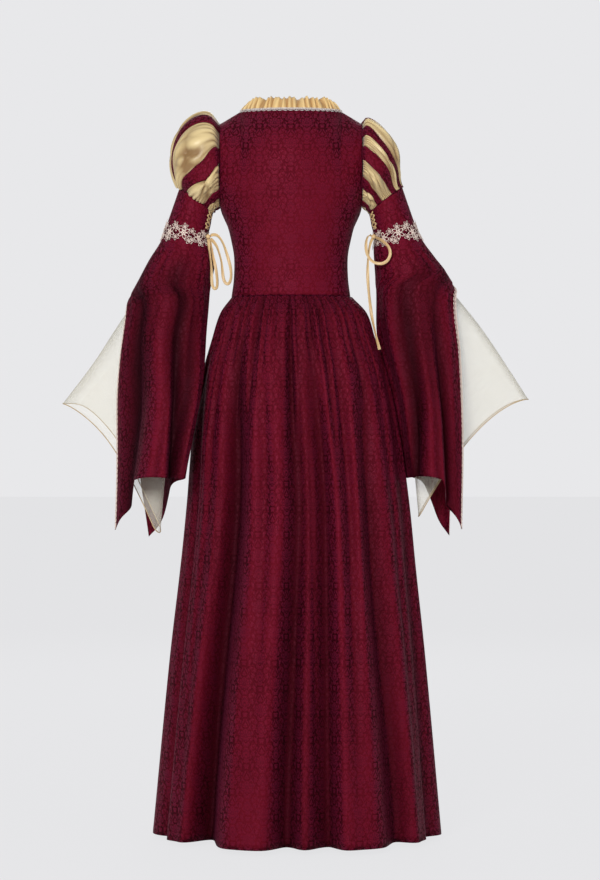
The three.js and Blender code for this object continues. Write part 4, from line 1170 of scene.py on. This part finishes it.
# %% Bell sizes
BELL = {
    # share down, middle's x and y, half width and depth, turn, and the angles of the split's two edges
    "left": [
        (0, 205, 0, 42, 43, 0, -24.6, 334.6), (0.04, 204, 0, 51, 48, 0, -24.6, 334.6),
        (0.1, 212, 2, 63, 54, 0, -24, 335), (0.2, 230, 6, 74, 61, -6, -17, 342),
        (0.27, 242, 14, 84, 66, -14, 30, 322), (0.42, 249, 24, 90, 70, -24, 38, 323),
        (0.7, 258, 55, 108, 57, -45, 52, 328), (1, 268, 76, 108, 61, -60, 66, 322)],
    "right": [
        (0, 205, 0, 42, 43, 0, -24.6, 334.6), (0.04, 210, 0, 49, 48, 0, -24.6, 334.6),
        (0.1, 223, 0, 60, 54, 0, -24, 335), (0.16, 236, 0, 71, 60, 0, -24, 335),
        (0.22, 246, -1, 80, 67, 0, 27, 325), (0.42, 253, -3, 84, 76, 3, 27, 318),
        (0.7, 270, -8, 72, 86, 5, 25, 305), (1, 278, -12, 62, 90, 6, 24, 296)],
}
# share across and height of the hem
BELL_HEM = [(0, -801), (0.06, -770), (0.12, -742), (0.17, -704), (0.5, -702), (0.78, -706), (0.86, -740),
            (0.93, -790), (1, -817)]
BELL_TROUGHS = {
    # share, drift to the hem, depth, width, painted shade
    "left": [(0.132, -0.03, 17, 0.055, 1.0), (0.326, 0.115, 28, 0.048, 1.0), (0.42, 0.04, 4, 0.04, 0.5),
             (0.56, 0, 10, 0.022, 0.6), (0.64, 0, 16, 0.05, 0.6), (0.83, 0, 14, 0.05, 0.6)],
    "right": [(0.13, -0.035, 24, 0.032, 0.8), (0.265, 0.095, 14, 0.058, 0.95),
              (0.46, 0.03, 11, 0.045, 0.05), (0.65, 0, 14, 0.05, 0.6), (0.83, 0, 13, 0.05, 0.6)],
}
BELL_SOFT = [
    # share, drift to the hem, width, depth on the left and on the right, from and to where it deepens
    (0.395, 0.03, 0.024, 3.4, 3.4, 0.1, 0.5), (0.2, -0.02, 0.022, 2.6, 2.6, 0.15, 0.6),
    (0.52, -0.02, 0.02, 2.6, 0.5, 0.3, 0.8), (0.72, 0, 0.022, 3.4, 3.4, 0.2, 0.6),
]


def bell_troughs(u, v, side):
    """Each deep fold at a point: its nearness, its depth here and its painted shade."""
    for middle, drift, size, width, dark in BELL_TROUGHS[side]:
        yield bump(u, middle + drift * v ** 3, width), size * ease(v, 0.05, 0.75), dark


def bell_creases(u, v, side):
    """The soft folds between the deep ones."""
    seed = 1.9 if side == "left" else 3.3
    gathers = ease(v, 0.01, 0.12) * (1 - 0.8 * ease(v, 0.15, 0.5))
    fold = 2.4 * wobble(u * 30, v * 2.2, seed) * ease(v, 0.02, 0.3)
    fold = fold + 1.4 * wobble(u * 55, v * 3, seed + 2) * gathers
    for middle, drift, width, left, right, start, full in BELL_SOFT:
        depth = (left if side == "left" else right) * ease(v, start, full)
        fold = fold + depth * bump(u, middle + drift * v, width)
    return fold


def bell_shade(u, v, side):
    """How dark the cloth is painted for lying in a fold."""
    lit = 1 - np.clip(0.1 * bell_creases(u, v, side) + 0.08, 0, 0.6) * ease(v, 0.02, 0.15)
    for near, depth, dark in bell_troughs(u, v, side):
        lit *= 1 - dark * near ** 0.9 * depth / (depth + 1)
    return 1.1 - 1.1 * lit


def bell_point(u, v, side, extra=True):
    x, y, wide, deep, turn, back_edge, front_edge = read(BELL[side], v)
    angle = mix(back_edge, front_edge, u)
    fold = sum(near * depth for near, depth, _ in bell_troughs(u, v, side))
    if extra:
        fold = fold + bell_creases(u, v, side)
    ox, oy = wide * cos(angle), deep * sin(angle)
    scale = 1 - fold / np.hypot(ox, oy)
    ox, oy = ox * scale, oy * scale
    seam_angle = mix(*BELL[side][0][6:], u)
    top = CUFF["z"] - SEAM + CUFF["radius"] * cos(seam_angle) * sin(CUFF["tilt"])
    return np.stack([x + ox * cos(turn) - oy * sin(turn), y + ox * sin(turn) + oy * cos(turn),
                     mix(top, read(BELL_HEM, u)[0], v)], axis=-1)


# %% Make the bell sleeves and the braid down their splits
for side in SIDES:
    shares, down = np.linspace(0, 1, 181), np.linspace(0, 1, 91) ** 1.1
    grid = to_side(grid_of(lambda u, v: bell_point(u, v, side), shares, down), side)
    bell = cloth("bell_sleeve_" + side, grid, arc_uv(grid), brocade, "brocade", thick=0.8,
                 shade=grid_of(lambda u, v: bell_shade(u, v, side), shares, down))
    "upper_sleeve_" + side
    normals = normals_of(grid, False)
    first = int(np.argmax(down > BELL[side][3][0] + 0.02))
    for edge, col, inner in (("back", 1, 4), ("front", -2, -5)):
        line, out = grid[first:, col], normals[first:, col]
        up = unit(line - grid[first:, inner])
        braid_along(f"split_braid_{edge}_{side}", line, up, out, *SPLIT_BRAID, rose_lace)

# %% [markdown]
# ## Sheer sleeves
# Under each bell a wide organza sleeve hangs from the forearm, flat like a flag, with a fine corded hem
# round its open end. Light passes through it, so its folds show as lines where the cloth doubles.

# %% Sheer sizes
SHEER = {
    # share down, top edge's x, y and z, low edge's x, y and z, half width by the top and by the low
    # edge, and how the low part hangs
    "left": [
        (0, 245, 0, -224.2, 165, 0, -241.2, 40.9, 40.9, 1),
        (0.1, 244, -3, -259, 176, 3, -298, 33, 33, 1),
        (0.25, 284, -8, -325, 196, 6, -400, 27, 24, 1.05),
        (0.5, 335, -16, -404, 222, 35, -540, 26, 18, 1.2),
        (0.75, 381, -28, -477, 242, 56, -672, 26, 14, 1.45),
        (1, 442, -44, -556, 253, 70, -806, 25, 11, 1.75)],
    "right": [
        (0, 245, 0, -224.2, 165, 0, -241.2, 40.9, 40.9, 1),
        (0.1, 248, -2, -259, 176, -2, -298, 33, 33, 1),
        (0.25, 303, -5, -325, 196, -6, -400, 28, 24, 1.05),
        (0.5, 368, -13, -404, 220, -16, -530, 27, 20, 1.2),
        (0.75, 419, -25, -477, 238, -24, -655, 26, 16, 1.45),
        (1, 466, -40, -548, 250, -28, -778, 25, 13, 1.75)],
}


def sheer_point(turn, v, side):
    """A tube as flat as a flag. turn goes from its top edge down one face and back up the other."""
    top_x, top_y, top_z, low_x, low_y, low_z, round_, flat, curve = read(SHEER[side], v)
    share = (1 - np.cos(2 * np.pi * turn)) / 2
    length = np.sqrt((top_x - low_x) ** 2 + (top_y - low_y) ** 2 + (top_z - low_z) ** 2)
    from_top = share * length
    near_arm = np.sqrt(np.clip(1 - (1 - np.clip(from_top / round_, None, 1)) ** 2, 0, None))
    near_end = np.sqrt(np.clip(1 - np.clip(1 - (length - from_top) / flat, 0, None) ** 2, 0, None))
    body = mix(round_, flat, ease(from_top, round_, length * 0.8))
    across = unit(np.stack([low_y - top_y, top_x - low_x], axis=-1))
    fold = 5 * v * np.sin(3 * np.pi * share)
    fold = fold + 2.2 * ease(v, 0.2, 0.9) * np.sin(11 * share + 2 * v + (turn > 0.5))
    reach = np.sign(0.5 - turn) * body * np.minimum(near_arm, near_end) + fold * np.sin(np.pi * share)
    return np.stack([mix(top_x, low_x, share) + across[..., 0] * reach,
                     mix(top_y, low_y, share) + across[..., 1] * reach,
                     mix(top_z, low_z, share ** curve)], axis=-1)


# %% Make the sheer sleeves and their corded hems
for side in SIDES:
    turns = np.linspace(0, 1, 121)[:-1]
    grid = to_side(grid_of(lambda t, v: sheer_point(t, v, side), turns, np.linspace(0, 1, 81)), side)
    sheer = cloth("sheer_sleeve_" + side, grid, flat_uv(grid, 0.62, closed=True), organza, "organza",
                  thick=0.3, closed=True)
    cord = tube("sheer_hem_" + side, grid[-1], oval(0.9, 0.9, 6), (0, 1, 0.3), tan_cord, closed=True)
    settle(cord, "organza")
    "bell_sleeve_" + side

# %% [markdown]
# ## Lace flowers and bow knots
# One flower is built from primitives: a ring of leaf-shaped petals of thread round a small
# centre. It is copied round each arm, big and small in turn, and laid on the sleeve's own surface.


# %% Model one flower
PETAL_LOOPS = ((0.62, 0.38, 0.24, 0.055), (0.3, 0.1, 0.07, 0.05))  # reach, length, width and thread
PETAL_RISE, CENTRE_LIFT = 0.25, 0.03


def flower(petals, size):
    """Points and faces of a flower that lies flat: x across, y up and z out, in millimetres."""
    made = []
    for i in range(petals):
        turn = 2 * math.pi * i / petals
        for reach, long, wide, thick in PETAL_LOOPS:
            clear_selection()
            bpy.ops.mesh.primitive_torus_add(major_segments=12, minor_segments=5, major_radius=1,
                                             minor_radius=thick / PETAL_RISE)
            petal = bpy.context.object
            petal.scale = (long, wide, PETAL_RISE)
            bpy.ops.object.transform_apply(location=False, rotation=False, scale=True)
            petal.location = (reach * math.cos(turn), reach * math.sin(turn), CENTRE_LIFT)
            petal.rotation_euler = (0, 0, turn)
            bpy.ops.object.transform_apply(location=True, rotation=True, scale=False)
            made.append(petal)
    clear_selection()
    bpy.ops.mesh.primitive_uv_sphere_add(segments=8, ring_count=5, radius=0.17,
                                         location=(0, 0, CENTRE_LIFT))
    made.append(bpy.context.object)
    for piece in made:
        piece.select_set(True)
    bpy.context.view_layer.objects.active = made[0]
    bpy.ops.object.join()
    whole = bpy.context.object
    points = np.array([tuple(v.co) for v in whole.data.vertices]) * size
    points[:, 2] = np.clip(points[:, 2] * 0.6, -0.6, 1.2)
    faces = [list(p.vertices) for p in whole.data.polygons]
    bpy.data.objects.remove(whole, do_unlink=True)
    return points, faces


BIG, SMALL = flower(6, 12.0), flower(5, 7.0)
print("flower:", len(BIG[1]), "faces")

# %% Lay the flowers round each sleeve
LACE_LIFT = 1.5
GIRTH = 2 * math.pi * 45  # round the sleeve, over the lace
UPPER_LENGTH, BELL_LENGTH = 75, 500
FLOWERS = 9  # in each ring
RINGS = [
    # first angle, distance below the seam for even and odd flowers, turn from one to the next, shape
    (6, -2.5, 1.5, 11, BIG), (5, -14, 13, 19, SMALL), (26, 8.5, 8.5, 17, SMALL), (26, -9, -9, 29, SMALL),
    (17, 12.5, -13.5, 23, SMALL),
]


def on_sleeve(angle, along, out, side):
    """A point on the sleeve round the seam: along is its distance below it."""
    above = upper_point(angle, 1 + along / UPPER_LENGTH)
    back_edge, front_edge = BELL[side][0][6:]
    u = ((angle - back_edge) % 360) / (front_edge - back_edge)
    below = bell_point(np.clip(u, 0, 1), np.clip(along, 0, None) / BELL_LENGTH, side, False)
    t = ease(along, -2, 3)[..., None]
    surface = above * (1 - t) + below * t
    radial = ring_point(CUFF, angle, 0, 1.0) - ring_point(CUFF, angle, 0, 0.0)
    return surface + radial * (LACE_LIFT + out)[..., None]


for side in SIDES:
    points, faces, flat = [], [], []
    layout = [(first + i * 360 / FLOWERS, odd if i % 2 else even, i * turn, shape)
              for first, even, odd, turn, shape in RINGS for i in range(FLOWERS)]
    for angle, along, turn, (shape, quads) in layout:
        start = len(points)
        c, s = math.cos(math.radians(turn)), math.sin(math.radians(turn))
        x, y = shape[:, 0] * c - shape[:, 1] * s, shape[:, 0] * s + shape[:, 1] * c
        lift_by = 0.0 if len(shape) == len(BIG[0]) else 0.5
        p = on_sleeve(angle + x / GIRTH * 360, along + y, shape[:, 2] + lift_by, side)
        points.extend(to_side(p, side))
        flat.extend(zip(x * MM, y * MM))
        faces.extend([[start + i for i in face] for face in quads])
    thread_piece("lace_band_" + side, points, faces, flat, rose_lace)


# %% Tie the bow knots
for side in SIDES:
    clear_selection()
    bpy.ops.mesh.primitive_uv_sphere_add(segments=20, ring_count=12, radius=KNOT_RADIUS)
    knot = bpy.context.object
    knot.name = "bow_knot_" + side + "_tied"
    points = np.array([tuple(v.co) for v in knot.data.vertices])
    wrap = 1 + 0.1 * np.sin(5 * np.arctan2(points[:, 2], points[:, 0]) + points[:, 1] * 0.9)
    pinch = 1 - 0.2 * bump(points[:, 0], 0, 1.6)
    points = points * np.stack([wrap * 0.95, pinch * 0.9, wrap * 0.95], axis=1) + KNOT[side]
    knot.data.vertices.foreach_set("co", (points * MM).reshape(-1))
    layer = knot.data.uv_layers[0]
    layer.name = "cloth"
    values = np.zeros(len(layer.data) * 2)
    layer.data.foreach_get("uv", values)
    layer.data.foreach_set("uv", values * 0.03)
    knot.data.materials.append(ribbon_satin)
    knot.data.shade_smooth()
    settle(knot, "satin", "bow_knot_" + side)

# %% [markdown]
# ## Floor and light
# The dress hangs just clear of a pale floor that runs into a pale surrounding. Three large soft lights
# and the bright surrounding give an even studio light.

# %% Floor
SURROUNDING = (0.807, 0.807, 0.823, 1)
FLOOR_Z = -1.402


def show_camera(tree, output, lit, seen, share=1.0):
    """Lights the scene with one shader and shows the camera the other."""
    ray = Wire(tree, add_node(tree, "LightPath").outputs["Is Camera Ray"])
    both = add_node(tree, "MixShader")
    for value, socket in zip((ray * share, lit.outputs[0], seen.outputs[0]), both.inputs):
        join(tree, value, socket)
    join(tree, both.outputs[0], tree.nodes[output].inputs["Surface"])


clear_selection()
bpy.ops.mesh.primitive_plane_add(size=60, location=(0, 0, FLOOR_Z))
floor = bpy.context.object
floor.name = "floor"
pale = bpy.data.materials.new("pale_floor")
pale.use_nodes = True
tree = pale.node_tree
matt = tree.nodes["Principled BSDF"]
matt.inputs["Base Color"].default_value = (0.8, 0.8, 0.81, 1)
matt.inputs["Roughness"].default_value = 0.9
show_camera(tree, "Material Output", matt, add_node(tree, "Emission", Color=SURROUNDING), 0.93)
floor.data.materials.append(pale)
floor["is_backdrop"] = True


# %% Lights
def soft_light(name, place, size, power, towards=(0, 0, -0.6)):
    lamp = bpy.data.lights.new(name, "AREA")
    lamp.shape = "SQUARE"
    lamp.size = size
    lamp.energy = power
    light = add_object(name, lamp)
    light.location = place
    light.rotation_euler = (Vector(towards) - Vector(place)).to_track_quat("-Z", "Y").to_euler()


soft_light("key", (1.0, 4.6, 1.0), 1.4, 150)
soft_light("fill", (-3.2, 3.0, 0.4), 1.6, 14)
soft_light("front", (0, -4.0, 1.6), 2.4, 60)
world = bpy.data.worlds.new("surrounding")
world.use_nodes = True
tree = world.node_tree
around = tree.nodes["Background"]
around.inputs["Color"].default_value = SURROUNDING
around.inputs["Strength"].default_value = 0.38
show_camera(tree, "World Output", around, add_node(tree, "Background", Color=SURROUNDING))
scene.world = world
scene.view_settings.view_transform = "Standard"

# %% Measure the sizes and print them
seen_box = [list(corner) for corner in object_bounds()]
print("visual box:", [[round(x, 4) for x in c] for c in seen_box])
